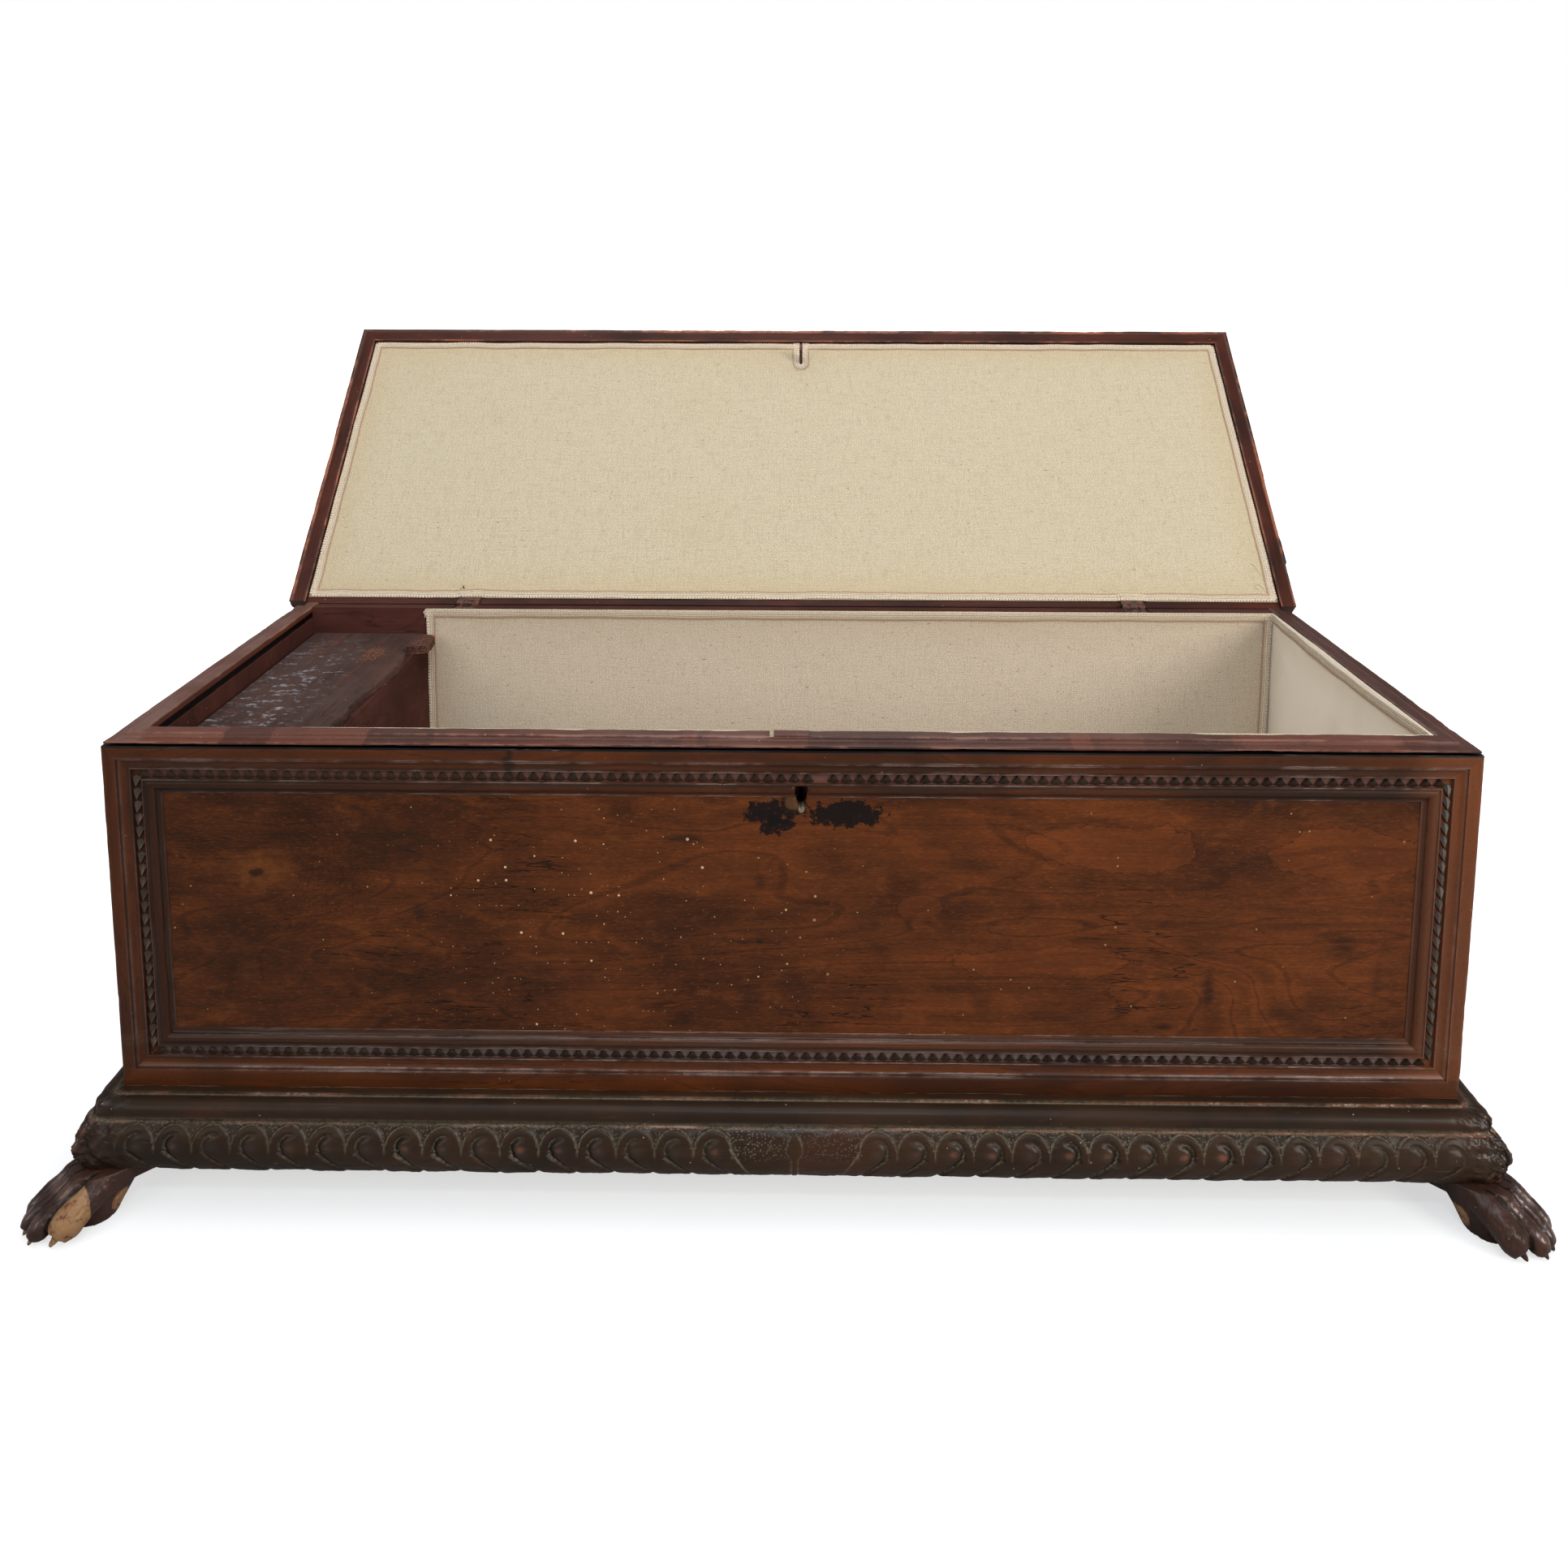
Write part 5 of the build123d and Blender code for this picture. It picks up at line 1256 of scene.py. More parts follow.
def gadroon_field(along, height, tops, centre):
    """Relief of the gadrooned member at places along it and up it: depth, lines, ground and crests."""
    spacing = abs(tops[1] - tops[0])
    side = np.where(along >= centre, 1.0, -1.0)
    depth, line, crest = np.zeros((3, len(along)))
    reach = np.full(len(along), 9.0)
    near = np.abs(along[:, None] - tops[None, :]).argmin(1)
    for shift in (-1, 0, 1):
        index = np.clip(near + shift, 0, len(tops) - 1)
        u = (along - tops[index]) * side
        valid = (near + shift == index) & (np.sign(tops[index] - centre) == side)
        cut, groove = lobe_relief(u, height)
        head = np.exp(-(((u + 1) / 8) ** 2) - ((height - (GADROON_HEIGHT - 24)) / 6.5) ** 2)
        depth = np.maximum(depth, np.where(valid, cut, 0))
        line = np.maximum(line, np.where(valid, groove, 0))
        crest = np.maximum(crest, np.where(valid, head, 0))
        oval = np.hypot(u / 21.0, (height - (GADROON_HEIGHT - 20)) / 18)
        reach = np.minimum(reach, np.where(valid, oval, 9.0))
    above = height > GADROON_HEIGHT - 20
    away = (reach - 1) * 19
    ridge = np.where(above, np.exp(-((away / 0.9) ** 2)), 0)
    ground = np.where(above, np.clip((away - 0.8) / 1.2, 0, 1), 0)
    cusp = np.abs(np.abs(along - tops[near]) - spacing / 2)
    stroke = np.exp(-((cusp / 1.0) ** 2)) * np.clip((height - (GADROON_HEIGHT - 34)) / 8, 0, 1) * ~above
    depth = np.maximum(depth, np.maximum(2.0 * ridge, 1.8 * stroke))
    depth = np.maximum(depth, 2.3 * ground)
    line = np.maximum(line, np.maximum(0.8 * ridge, stroke))
    if tops[0] < centre < tops[-1]:
        left, right = tops[tops < centre].max(), tops[tops > centre].min()
        depth, line, ground = middle_relief(along, height, left, right, centre, depth, line, ground)
    return depth, line, ground, crest


def base_length(name, origin, axes, length, ends, tops, centre, seed, chips=()):
    """One length of the base: its section run along it, gadroons carved into the swell."""
    points, normal, edge, hollow = section(BASE_SECTION, 1.0, 1.25)
    order = np.arange(len(points))
    seen = (points[:, 1] > 0.02) & (points[:, 0] > 0.02)
    kept = seen & ((points[:, 1] < 60) | (order % 2 == 0)) | (order % 10 == 0)
    points, normal, edge, hollow = points[kept], normal[kept], edge[kept], hollow[kept]
    per = len(points)
    total = length + BASE_REACH * sum(ends)
    stations = round(total / 1.5) + 1
    share = np.linspace(0, 1, stations)[:, None]
    reach = np.repeat(points[None, :, 0], stations, 0)
    start = -length / 2 - reach * ends[0]
    finish = length / 2 + reach * ends[1]
    along = start * (1 - share) + finish * share
    up = np.repeat(points[None, :, 1], stations, 0)
    local = np.stack((along, reach, up), -1).reshape(-1, 3)
    facing = np.tile(np.stack((np.zeros(per), normal[:, 0], normal[:, 1]), 1), (stations, 1))
    for end, sign in ((0, -1.0), (1, 1.0)):
        if not ends[end]:
            continue
        corner = length / 2 + local[:, 1]
        inward = corner - sign * local[:, 0]
        near = (inward < CORNER_ROUND) & (local[:, 1] > 5)
        theta = math.radians(225) + math.radians(45) * np.clip(inward, 0, CORNER_ROUND) / CORNER_ROUND
        a = CORNER_ROUND * (1 + np.cos(theta))
        b = CORNER_ROUND * (1 + np.sin(theta))
        flat = facing[:, 1].copy()
        local[:, 0] = np.where(near, sign * (corner - a), local[:, 0])
        local[:, 1] = np.where(near, local[:, 1] - b, local[:, 1])
        facing[:, 0] = np.where(near, -sign * np.cos(theta) * flat, facing[:, 0])
        facing[:, 1] = np.where(near, -np.sin(theta) * flat, facing[:, 1])
    carved = (local[:, 2] < 59.5) & (local[:, 1] > 30)
    depth, groove, ground, crest = gadroon_field(local[:, 0], local[:, 2] * GADROON_HEIGHT / 59, tops, centre)
    low_end = -length / 2 - BASE_REACH * ends[0]
    high_end = length / 2 + BASE_REACH * ends[1]
    fade = np.clip((local[:, 0] - low_end - 40) / 50, 0, 1) if ends[0] else np.ones(len(local))
    fade = fade * (np.clip((high_end - local[:, 0] - 40) / 50, 0, 1) if ends[1] else 1.0)
    vary = np.clip(0.9 + 0.3 * ripple(local, 90, seed), 0.4, 1.2)
    depth, groove, ground, crest = (values * carved * fade * vary for values in (depth, groove, ground, crest))
    to_corner = np.minimum(
        local[:, 0] - low_end if ends[0] else 999, high_end - local[:, 0] if ends[1] else 999
    )
    battered = np.clip(1 - to_corner / 70, 0, 1) * (local[:, 1] > 12)
    depth = depth + battered * (1.6 + 2.4 * roughness_of(local, (26, 11, 5), seed + 21))
    edges, hollows = np.tile(edge, stations), np.tile(hollow, stations)
    worn = np.clip(0.4 + 0.5 * roughness_of(local, (120, 30, 8), seed + 3), 0, 1.5)
    uneven = 0.35 * ripple(local, 70, seed + 8) + 0.18 * ripple(local, 11, seed + 9)
    visible = np.clip(local[:, 1] / 20, 0, 1)
    local = local + facing * ((uneven * carved - edges * worn**2 * 0.9 - depth) * visible)[:, None]
    scallop = np.clip(1 - local[:, 2] / 4, 0, 1) * (local[:, 1] > 30)
    local[:, 2] += scallop * (0.5 + 0.5 * ripple(local, 34, seed + 12)).clip(0, 1.4)
    for middle, wide, tall in chips:
        bite = np.clip(1 - ((local[:, 0] - middle) / (wide / 2)) ** 2, 0, 1) ** 0.5 * tall
        local[:, 2] = np.where(local[:, 1] > 40, np.maximum(local[:, 2], bite), local[:, 2])
    rubbed = 0.3 * battered * (1 + ripple(local, 12, seed + 31))
    masks = {
        # edge: rubbed arrises and battered corners; on the lobe heads partly rubbed wear, partly a painted
        # highlight
        "edge": np.clip(edges * (0.4 + 0.6 * worn) + 0.5 * crest * (1 - groove) + rubbed, 0, 1),
        "hollow": np.clip(0.55 * hollows + groove, 0, 1),
        # sunk: how deep the carving goes, which base_marks paints as shade
        "sunk": np.clip((depth - 0.4) / 2.6, 0, 1) * (1 - 0.6 * ground),
        "punched": np.clip(ground, 0, 1),
    }
    placed = np.asarray(origin, float) + local @ np.array(axes, float)
    return make_mesh(name, placed, tube_faces(stations, per), masks)


front_tops = np.concatenate((np.linspace(-767, -86, 16), np.linspace(107, 776, 16)))
mesh = base_length("base_front", (0, BOARD_FRONT, FOOT_HEIGHT), (X_AXIS, -Y_AXIS, Z_AXIS), 2 * BOARD_SIDE,
                   (1, 1), front_tops, 9.5, 101, [(214, 28, 3)])
show(mesh, "base_front_carved", "case", BASE_WOOD["x"], ["base_front"])
side_tops = np.linspace(-300, 250, 13)
for name, side, ends in (("base_left", -1, (1, 0)), ("base_right", 1, (1, 0))):
    axes = (Y_AXIS, X_AXIS * side, Z_AXIS)
    mesh = base_length(name, (side * BOARD_SIDE, 7, FOOT_HEIGHT), axes, 546, ends, side_tops, 900, 120 + side)
    show(mesh, name + "_carved", "case", BASE_WOOD["y"], [name])

# ---------------------------------------------------------------------------
# Paw feet
# ---------------------------------------------------------------------------


def smooth_path(points, steps=8):
    """A Catmull-Rom path through rows of numbers."""
    points = np.array(points, float)
    padded = np.vstack((2 * points[0] - points[1], points, 2 * points[-1] - points[-2]))
    found = []
    for i in range(1, len(padded) - 2):
        a, b, c, d = padded[i - 1: i + 3]
        for t in np.linspace(0, 1, steps, endpoint=False):
            found.append(0.5 * (2 * b + (c - a) * t + (2 * a - 5 * b + 4 * c - d) * t**2
                                + (3 * b - a - 3 * c + d) * t**3))
    found.append(points[-1])
    return np.array(found)


def swept(path, sides=12, flat=1.0):
    """A round form along a path; each row is a point and the radius there."""
    path = np.array(path, float)
    centre, radius = path[:, :3], path[:, 3]
    along = np.gradient(centre, axis=0)
    along /= np.linalg.norm(along, axis=1, keepdims=True)
    side = np.cross(along, Z_AXIS)
    short = np.linalg.norm(side, axis=1) < 1e-3
    side[short] = X_AXIS
    side /= np.linalg.norm(side, axis=1, keepdims=True)
    up = np.cross(side, along)
    points = []
    for c, r, s, u in zip(centre, radius, side, up):
        for k in range(sides):
            t = 2 * math.pi * k / sides
            points.append(c + r * (s * math.cos(t) + u * math.sin(t) * flat))
    return points, tube_faces(len(path), sides)


# Toes from the inner side to the outer: rows of out along the foot, across it, height, radius
TOES = [
    [(-46, -16, 42, 12), (-20, -19, 45, 13), (4, -22, 33, 12), (18, -24, 22, 12.5), (27, -25, 14, 12),
     (33, -25, 8.5, 7)],
    [(-46, -5, 44, 12), (-18, -6, 46, 13), (6, -6.5, 35, 11.5), (24, -6.5, 24, 11.5), (36, -6, 15, 12),
     (43, -6, 8.5, 7)],
    [(-46, 8, 44, 13), (-18, 10, 46, 13.5), (4, 12, 35, 12), (22, 12.5, 25, 12), (34, 13, 16, 12.5),
     (42, 13, 8.5, 7.5)],
    [(-46, 22, 42, 13), (-26, 27, 42, 15), (-8, 31, 34, 16.5), (4, 33, 27, 17.5), (13, 34, 20, 17.5),
     (22, 34.5, 12, 11.5)],
]
CLAW_TIPS = [(37, -25), (47, -6), (46, 13), (30, 34)]
# The foot under the toes: height, centre and half length back from the corner, half breadth
PAW_BODY = ((57, -46, 44, 37), (42, -41, 40, 37), (26, -34, 35, 36), (12, -28, 31, 34), (0, -23, 29, 32))


def loft(rings):
    """The points of rings in a row, and the faces that join them."""
    return sum(rings, []), tube_faces(len(rings), len(rings[0]))


def paw(name, side, seed, stretch, bare_toe):
    """A lion's paw set slantwise under a front corner of the base; one toe may have lost its finish."""
    corner = np.array((side * (BOARD_SIDE + BASE_REACH), BOARD_FRONT - BASE_REACH, 0.0))
    out = np.array((side, -1.0, 0)) / math.sqrt(2)
    across = np.array((-side, -1.0, 0)) / math.sqrt(2)

    def place(points):
        points = np.asarray(points, float)
        reach = np.where(points[:, :1] > 0, points[:, :1] * stretch, points[:, :1])
        return corner + reach * out + points[:, 1:2] * across + points[:, 2:3] * Z_AXIS

    toes = [smooth_path(toe) for toe in TOES]
    meshes = []
    for toe, (reach, middle) in zip(toes, CLAW_TIPS):
        points, faces = swept(toe, 18, 1.05)
        meshes.append(make_mesh("toe", place(points), faces))
        claw = [(reach - 13, middle, 14, 5.0), (reach - 6, middle, 9.5, 4.4), (reach, middle, 3.4, 1.6)]
        points, faces = swept(smooth_path(claw, 5), 10)
        meshes.append(make_mesh("claw", place(points), faces))
    turns = np.linspace(0, 2 * math.pi, 32, endpoint=False)
    body = [
        [(centre + half * math.cos(t), breadth * math.sin(t), height) for t in turns]
        for height, centre, half, breadth in PAW_BODY
    ]
    points, faces = loft(body)
    meshes.append(make_mesh("body", place(points), faces))
    heel = [[(a, b, h) for a, b in ((-205, -30), (-60, -30), (-60, 30), (-205, 30))] for h in (35, 57)]
    points, faces = loft(heel)
    meshes.append(make_mesh("heel", place(points), faces))
    stock = place_object(name, joined(name, meshes))
    solid = stock.modifiers.new("solid", "REMESH")
    solid.mode = "VOXEL"
    solid.voxel_size = 0.0016
    eased = stock.modifiers.new("eased", "SMOOTH")
    eased.factor = 0.5
    eased.iterations = 4
    bpy.context.view_layer.update()
    mesh = applied(stock, name)
    points, normals = np.empty((2, len(mesh.vertices) * 3))
    mesh.vertices.foreach_get("co", points)
    mesh.vertices.foreach_get("normal", normals)
    points, normals = points.reshape(-1, 3) / MM, normals.reshape(-1, 3)
    shift = points - corner
    local = np.stack((shift @ out, shift @ across, points[:, 2]), 1)
    local[:, 0] = np.where(local[:, 0] > 0, local[:, 0] / stretch, local[:, 0])
    gaps = np.stack([
        (np.linalg.norm(local[:, None, :] - toe[None, :, :3], axis=2) - toe[None, :, 3]).min(1) for toe in toes
    ], 1)
    order = np.sort(gaps, axis=1)
    groove = np.exp(-(((order[:, 1] - order[:, 0]) / 2.4) ** 2)) * np.clip((local[:, 0] + 34) / 12, 0, 1)
    groove *= np.clip((7 - order[:, 1]) / 3, 0, 1)
    beside = np.clip((local[:, 1] - 24) / 6, 0, 1) * np.clip((local[:, 0] + 24) / 10, 0, 1)
    onto_body = np.exp(-(((order[:, 0] - 1.5) / 1.4) ** 2)) * beside * np.clip((46 - local[:, 2]) / 8, 0, 1)
    groove = np.maximum(groove, 0.7 * onto_body * (local[:, 2] > 3))
    carved = np.clip((local[:, 0] + 70) / 40, 0, 1)
    chatter = 0.5 * ripple(points, 18, seed) + 0.25 * ripple(points, 6, seed + 1)
    points = points + normals * (chatter * carved - 2.2 * groove)[:, None]
    points[:, 2] = np.clip(points[:, 2], 0, FOOT_HEIGHT)
    mesh.vertices.foreach_set("co", (points * MM).ravel())
    bare, rub = np.zeros((2, len(points)))
    for reach, middle in CLAW_TIPS:
        near = np.linalg.norm((local - (reach - 2, middle, 6)) / (8, 7, 9), axis=1)
        bare = np.maximum(bare, np.clip(1.4 - near, 0, 1) * (0.75 if bare_toe is not None else 0.3))
    if bare_toe is not None:
        own = (gaps.argmin(1) == bare_toe) & (order[:, 0] < 1.5)
        stripped = own * np.clip((order[:, 1] - order[:, 0]) / 2, 0, 1) * np.clip((local[:, 0] + 12) / 6, 0, 1)
        bare = np.maximum(bare, stripped)
    scuff = np.linalg.norm((local - (-48, 33, 16)) / (14, 12, 16), axis=1)
    bare = np.maximum(bare, np.clip(1.35 - scuff, 0, 0.8))
    for toe in TOES:
        for knuckle in (toe[2], toe[4]):
            near = np.linalg.norm((local - np.array(knuckle[:3]) - (0, 0, 9)) / (11, 8, 8), axis=1)
            rub = np.maximum(rub, np.clip(1.4 - near, 0, 0.55))
    # hollow: the grooves between the toes, and a darkening towards the bottom of the foot
    hollow = np.maximum(groove, np.clip(1 - local[:, 2] / 8, 0, 1) * 0.4)
    give_masks(mesh, {"edge": rub, "hollow": hollow, "bare": bare})
    mesh.shade_smooth()
    return mesh


def paw_marks(place, color, rough, height):
    """Dark grooves and a darker bottom of the foot, and bare pale wood where the finish has gone from the claws
    and one toe.
    """
    fleck = cloud(place, 110.0, 5.0, 0.7)
    color = paint(color, between(own_mask(place, "hollow"), 0.2, 0.9, 0.0, 0.8), 16, 12, 10)
    bare = between(fleck * 0.9 + own_mask(place, "bare"), 0.8, 1.0)
    pale = paint(tone(134, 100, 68), between(fleck, 0.5, 0.62), 96, 58, 40)
    color = blend(bare, color, pale)
    rough = reckon("MULTIPLY_ADD", bare, 0.3, rough, clamp=True)
    return color, rough, height


PAW_WOOD = wood("paw_walnut", "z", PAW_TONES, OILED, PAW_WEAR, paw_marks, 0.3)
for name, *rest in (("front_left_paw", -1, 201, 1.06, 3), ("front_right_paw", 1, 231, 0.92, None)):
    show(paw(name, *rest), name + "_carved", "case", PAW_WOOD, [name])

# ---------------------------------------------------------------------------
# Till lid
# ---------------------------------------------------------------------------

TILL_LID = [(-757, -240), (-603, -240), (-596, -215), (-588, -180), (-585, -140), (-583, -95), (-586, -60),
            (-584, -20), (-580, 20), (-577, 60), (-576, 95), (-578, 125), (-583, 150), (-588, 168),
            (-590, 184), (-574, 186), (-566, 189), (-559, 196), (-558, 216), (-560, 236), (-566, 244),
            (-584, 248), (-587, 251), (-757, 251)]


def till_lid_mesh():
    """The till's lid: a thin board, broken along its free edge, with its wooden pins."""
    shaped = bmesh.new()
    outline = []
    for i, point in enumerate(TILL_LID):
        onward = TILL_LID[(i + 1) % len(TILL_LID)]
        pieces = max(1, round(math.dist(point, onward) / 5))
        outline += [np.array(point) * (1 - k / pieces) + np.array(onward) * k / pieces for k in range(pieces)]
    outline = np.array(outline)
    placed = np.concatenate((outline, np.zeros((len(outline), 1))), 1)
    broken = np.clip((outline[:, 0] + 640) / 40, 0, 1)
    tear = ripple(placed, 14, 301) * 1.4 + ripple(placed, 6, 302) * 0.8
    outline = outline + np.stack((tear * broken - broken, np.zeros(len(outline))), 1)
    rings = []
    pull = outline.mean(0) - outline
    pull /= np.linalg.norm(pull, axis=1, keepdims=True)
    for z, inset in ((522.0, 0.8), (523.5, 0.0), (528.0, 0.6), (532.6, 0.0), (534.0, 1.0)):
        eaten = broken * (1.5 * np.abs(ripple(placed + (0, 0, z * 3), 9, 305)) if 523 < z < 533 else 1.0)
        ring = outline + pull * (inset + eaten * 0.6)[:, None]
        rings.append([shaped.verts.new((*(p * MM), z * MM)) for p in ring])
    count = len(outline)
    for low, high in zip(rings, rings[1:]):
        for k in range(count):
            shaped.faces.new((low[k], low[(k + 1) % count], high[(k + 1) % count], high[k]))
    shaped.faces.new(rings[-1])
    shaped.faces.new(rings[0][::-1])
    mesh = bpy.data.meshes.new("till_lid")
    bmesh.ops.triangulate(shaped, faces=[f for f in shaped.faces if len(f.verts) > 4])
    shaped.to_mesh(mesh)
    shaped.free()
    points = np.empty(len(mesh.vertices) * 3)
    mesh.vertices.foreach_get("co", points)
    points = points.reshape(-1, 3) / MM
    give_masks(mesh, {"edge": np.clip((points[:, 0] + 596) / 14, 0, 1) * 0.5})
    soften(mesh)
    pins = []
    for low, high in ((-249.5, -238), (249, 260.5)):
        path = [(-748, low, 528, 4.6), (-748, low + 0.8, 528, 4.95), (-748, high, 528, 4.95)]
        points, faces = swept(path if low < 0 else [(x, 2 * 5.5 - y, z, r) for x, y, z, r in path], 20)
        pins.append(make_mesh("pin", points, faces))
    return joined("till_lid", [mesh, *pins])


def till_marks(place, color, rough, height):
    """Pale dabs, reddish streaks and a crusty worn knot on the till's lid."""
    scuffed = spot(place, (-0.705, -0.02, 0.534), (0.07, 0.25, 1), 0.5, 14.0, 0.6)
    dab = between(cloud(stretched(place, 60, 120, 1), 1.0, 4.0, 0.75), 0.54, 0.68)
    color = paint(color, scuffed * dab * 0.75, 150, 148, 154)
    red = between(cloud(stretched(place, 60, 5, 1), 1.0, 4.0, 0.6), 0.58, 0.74)
    color = paint(color, red * 0.5, 104, 52, 40)
    crust = between(cloud(place, 420.0, 5.0, 0.75), 0.42, 0.6)
    knot = spot(place, (-0.63, 0.150, 0.534), (0.016, 0.034, 1), 0.6, 90.0)
    torn = spot(place, (-0.570, 0.215, 0.528), (0.026, 0.05, 0.03), 0.8, 80.0, 0.6)
    rough_ground = reckon("MAXIMUM", knot, torn * 0.7)
    color = blend(rough_ground, color, paint(tone(28, 16, 14), crust, 122, 82, 66))
    height = rough_ground * crust * 4.0 + height
    raw = spot(place, (-0.560, 0.238, 0.531), (0.007, 0.008, 0.02), 0.4, 80.0)
    color = paint(color, raw * 0.8, 150, 76, 40)
    return color, rough, height


TILL_WOOD = wood("till_walnut", "y", TILL_TONES, DULL, TILL_WEAR, till_marks, 0.3)
show(till_lid_mesh(), "till_lid_worn", "till_lid", TILL_WOOD, ["till_lid"])

# ---------------------------------------------------------------------------
# Lid: mouldings, linen and braid
# ---------------------------------------------------------------------------

LID_SECTION = (
    [(1.5, 3.75), (5.5, 3.75), (6.5, 3.0), (28, 3.2), (28, -26.25), (10, -26.25)]
    + bend((10, -26.25), (0, -16.25), (0.7, 0.3))
    + [(0, -6.25), (1.5, -6.25)]
)
LID_SIDE_MIDDLE, LID_SIDE_LENGTH = 287.5, 572
lid_mouldings = {
    "lid_front_moulding": ((0, LID_REACH), (-X_AXIS, -LID_ALONG, LID_OUT), 2 * LID_HALF, (1, 1), "x"),
    "lid_left_moulding": (
        (-LID_HALF, LID_SIDE_MIDDLE), (-LID_ALONG, X_AXIS, LID_OUT), LID_SIDE_LENGTH, (1, 0), "lid",
    ),
    "lid_right_moulding": (
        (LID_HALF, LID_SIDE_MIDDLE), (LID_ALONG, -X_AXIS, LID_OUT), LID_SIDE_LENGTH, (0, 1), "lid",
    ),
}


def broken_nosing(local):
    """The outer bead has split off near the lid's hinge."""
    torn = np.clip((-205 - local[:, 0] + 3 * ripple(local, 9, 91)) / 3, 0, 1) * (local[:, 2] > -22)
    local[:, 1] = np.where(local[:, 1] < 4.5, local[:, 1] + torn * (4.5 - local[:, 1]) * 0.95, local[:, 1])
    return local


for index, (name, (middle, axes, length, ends, grain)) in enumerate(lid_mouldings.items()):
    mesh = run(name, LID_SECTION, lid_point(*middle, 0), axes, length, ends, seed=80 + index, rounding=1.2,
               spacing=2.5, wear=1.0, pitch=5, shape=broken_nosing if name == "lid_right_moulding" else None)
    show(mesh, name + "_worn", "lid", LID_WOOD[grain], [name])

KEY_X = 15.0
SLIT_HALF = 3.4
SLIT_FOOT = 494.0
LINING_HALF = 783.0
LINING_FOOT, LINING_HEAD = 12.0, 544.5
CLOTH_THICK = 0.9
HINGES = (-520.0, 548.0)


def grid_values(low, high, step, extra=()):
    """Even values between two limits, with some exact ones among them."""
    values = list(np.linspace(low, high, max(2, round((high - low) / step) + 1)))
    return np.array(sorted(set(v for v in values if all(abs(v - e) > step / 4 for e in extra)) | set(extra)))


def cloth(name, us, vs, place, missing=None):
    """A sheet over a grid of flat places, in millimetres, put on its wall by place(u, v)."""
    u, v = (a.ravel() for a in np.meshgrid(us, vs))
    points = place(u, v)
    wide = len(us)
    faces = []
    for i in range(len(vs) - 1):
        for j in range(wide - 1):
            if missing and missing((us[j] + us[j + 1]) / 2, (vs[i] + vs[i + 1]) / 2):
                continue
            faces.append((i * wide + j, i * wide + j + 1, (i + 1) * wide + j + 1, (i + 1) * wide + j))
    mesh = bpy.data.meshes.new(name)
    mesh.from_pydata((points * MM).tolist(), [], faces)
    layer = mesh.uv_layers.new(name="cloth")
    loops = np.empty(len(mesh.loops), int)
    mesh.loops.foreach_get("vertex_index", loops)
    flat = np.stack((u[loops], v[loops]), 1) * MM
    layer.data.foreach_set("uv", flat.ravel())
    # hollow: nearness to the cloth's border, where linen() makes it darker
    border = np.minimum.reduce((u - us[0], us[-1] - u, v - vs[0], vs[-1] - v))
    give_masks(mesh, {"hollow": np.exp(-((border / 45) ** 2))})
    shaped = bmesh.new()
    shaped.from_mesh(mesh)
    bmesh.ops.delete(shaped, geom=[p for p in shaped.verts if not p.link_faces], context="VERTS")
    shaped.to_mesh(mesh)
    shaped.free()
    mesh.shade_smooth()
    return mesh


def hang(mesh, name, body, material, replaces):
    piece = show(mesh, name, body, material, replaces)
    wall = piece.modifiers.new("thickness", "SOLIDIFY")
    wall.thickness = CLOTH_THICK * MM
    wall.offset = -1.0


def hinge_lift(u, v):
    """How far the cloth and braid rise to pass over a hinge leaf."""
    rise = np.zeros(np.shape(u))
    for x in HINGES:
        across = np.clip((22 - np.abs(u - x)) / 4, 0, 1)
        along_lid = np.clip((56 - v) / 14, 0, 1)
        rise = np.maximum(rise, across * along_lid)
    return (2.35 + 0.9 * np.clip((v - 23) / 4, 0, 1)) * rise * rise * (3 - 2 * rise)


def on_lid(u, v, out):
    """Places on the lid from flat ones, at a distance out of its lined side."""
    out = np.broadcast_to(out, np.shape(u))
    return np.stack((u, v * 0, v * 0), 1) + np.array((0, HINGE_Y, HINGE_Z)) + v[:, None] * LID_ALONG \
        + out[:, None] * LID_OUT


def lid_cloth_place(u, v):
    flat = np.stack((u, v, 0 * u), 1)
    wave = 0.25 + 0.22 * ripple(flat, 150, 401) + 0.1 * ripple(flat, 40, 402)
    return on_lid(u, v, -3.3 + np.clip(wave, 0, 0.7) + hinge_lift(u, v))


def in_slit(u, v):
    return abs(u - KEY_X) < SLIT_HALF and v > SLIT_FOOT


us = grid_values(-LINING_HALF, LINING_HALF, 9, (KEY_X - SLIT_HALF, KEY_X + SLIT_HALF))
vs = grid_values(LINING_FOOT, LINING_HEAD, 9, (SLIT_FOOT,))
mesh = cloth("lid_lining", us, vs, lid_cloth_place, in_slit)
hang(mesh, "lid_lining_linen", "lid", LID_LINEN,
     ["lid_lining"])


def braid_path(points, place, facing, seed):
    """A path for a row of braid along straight legs between flat places, slightly wandering."""
    path = []
    step, sway = 4.0, 0.7
    for a, b in zip(points, points[1:]):
        a, b = np.array(a, float), np.array(b, float)
        pieces = max(1, round(np.linalg.norm(b - a) / step))
        path += [a + (b - a) * k / pieces for k in range(pieces)]
    path.append(np.array(points[-1], float))
    path = np.array(path)
    flat = np.concatenate((path, np.zeros((len(path), 1))), 1)
    ease = np.minimum(1, np.minimum(np.arange(len(path)), np.arange(len(path))[::-1]) / 6)
    path = path + (sway * ease)[:, None] * np.stack((ripple(flat, 90, seed), ripple(flat, 80, seed + 1)), 1)
    return [tuple(p) for p in place(path[:, 0], path[:, 1])], facing


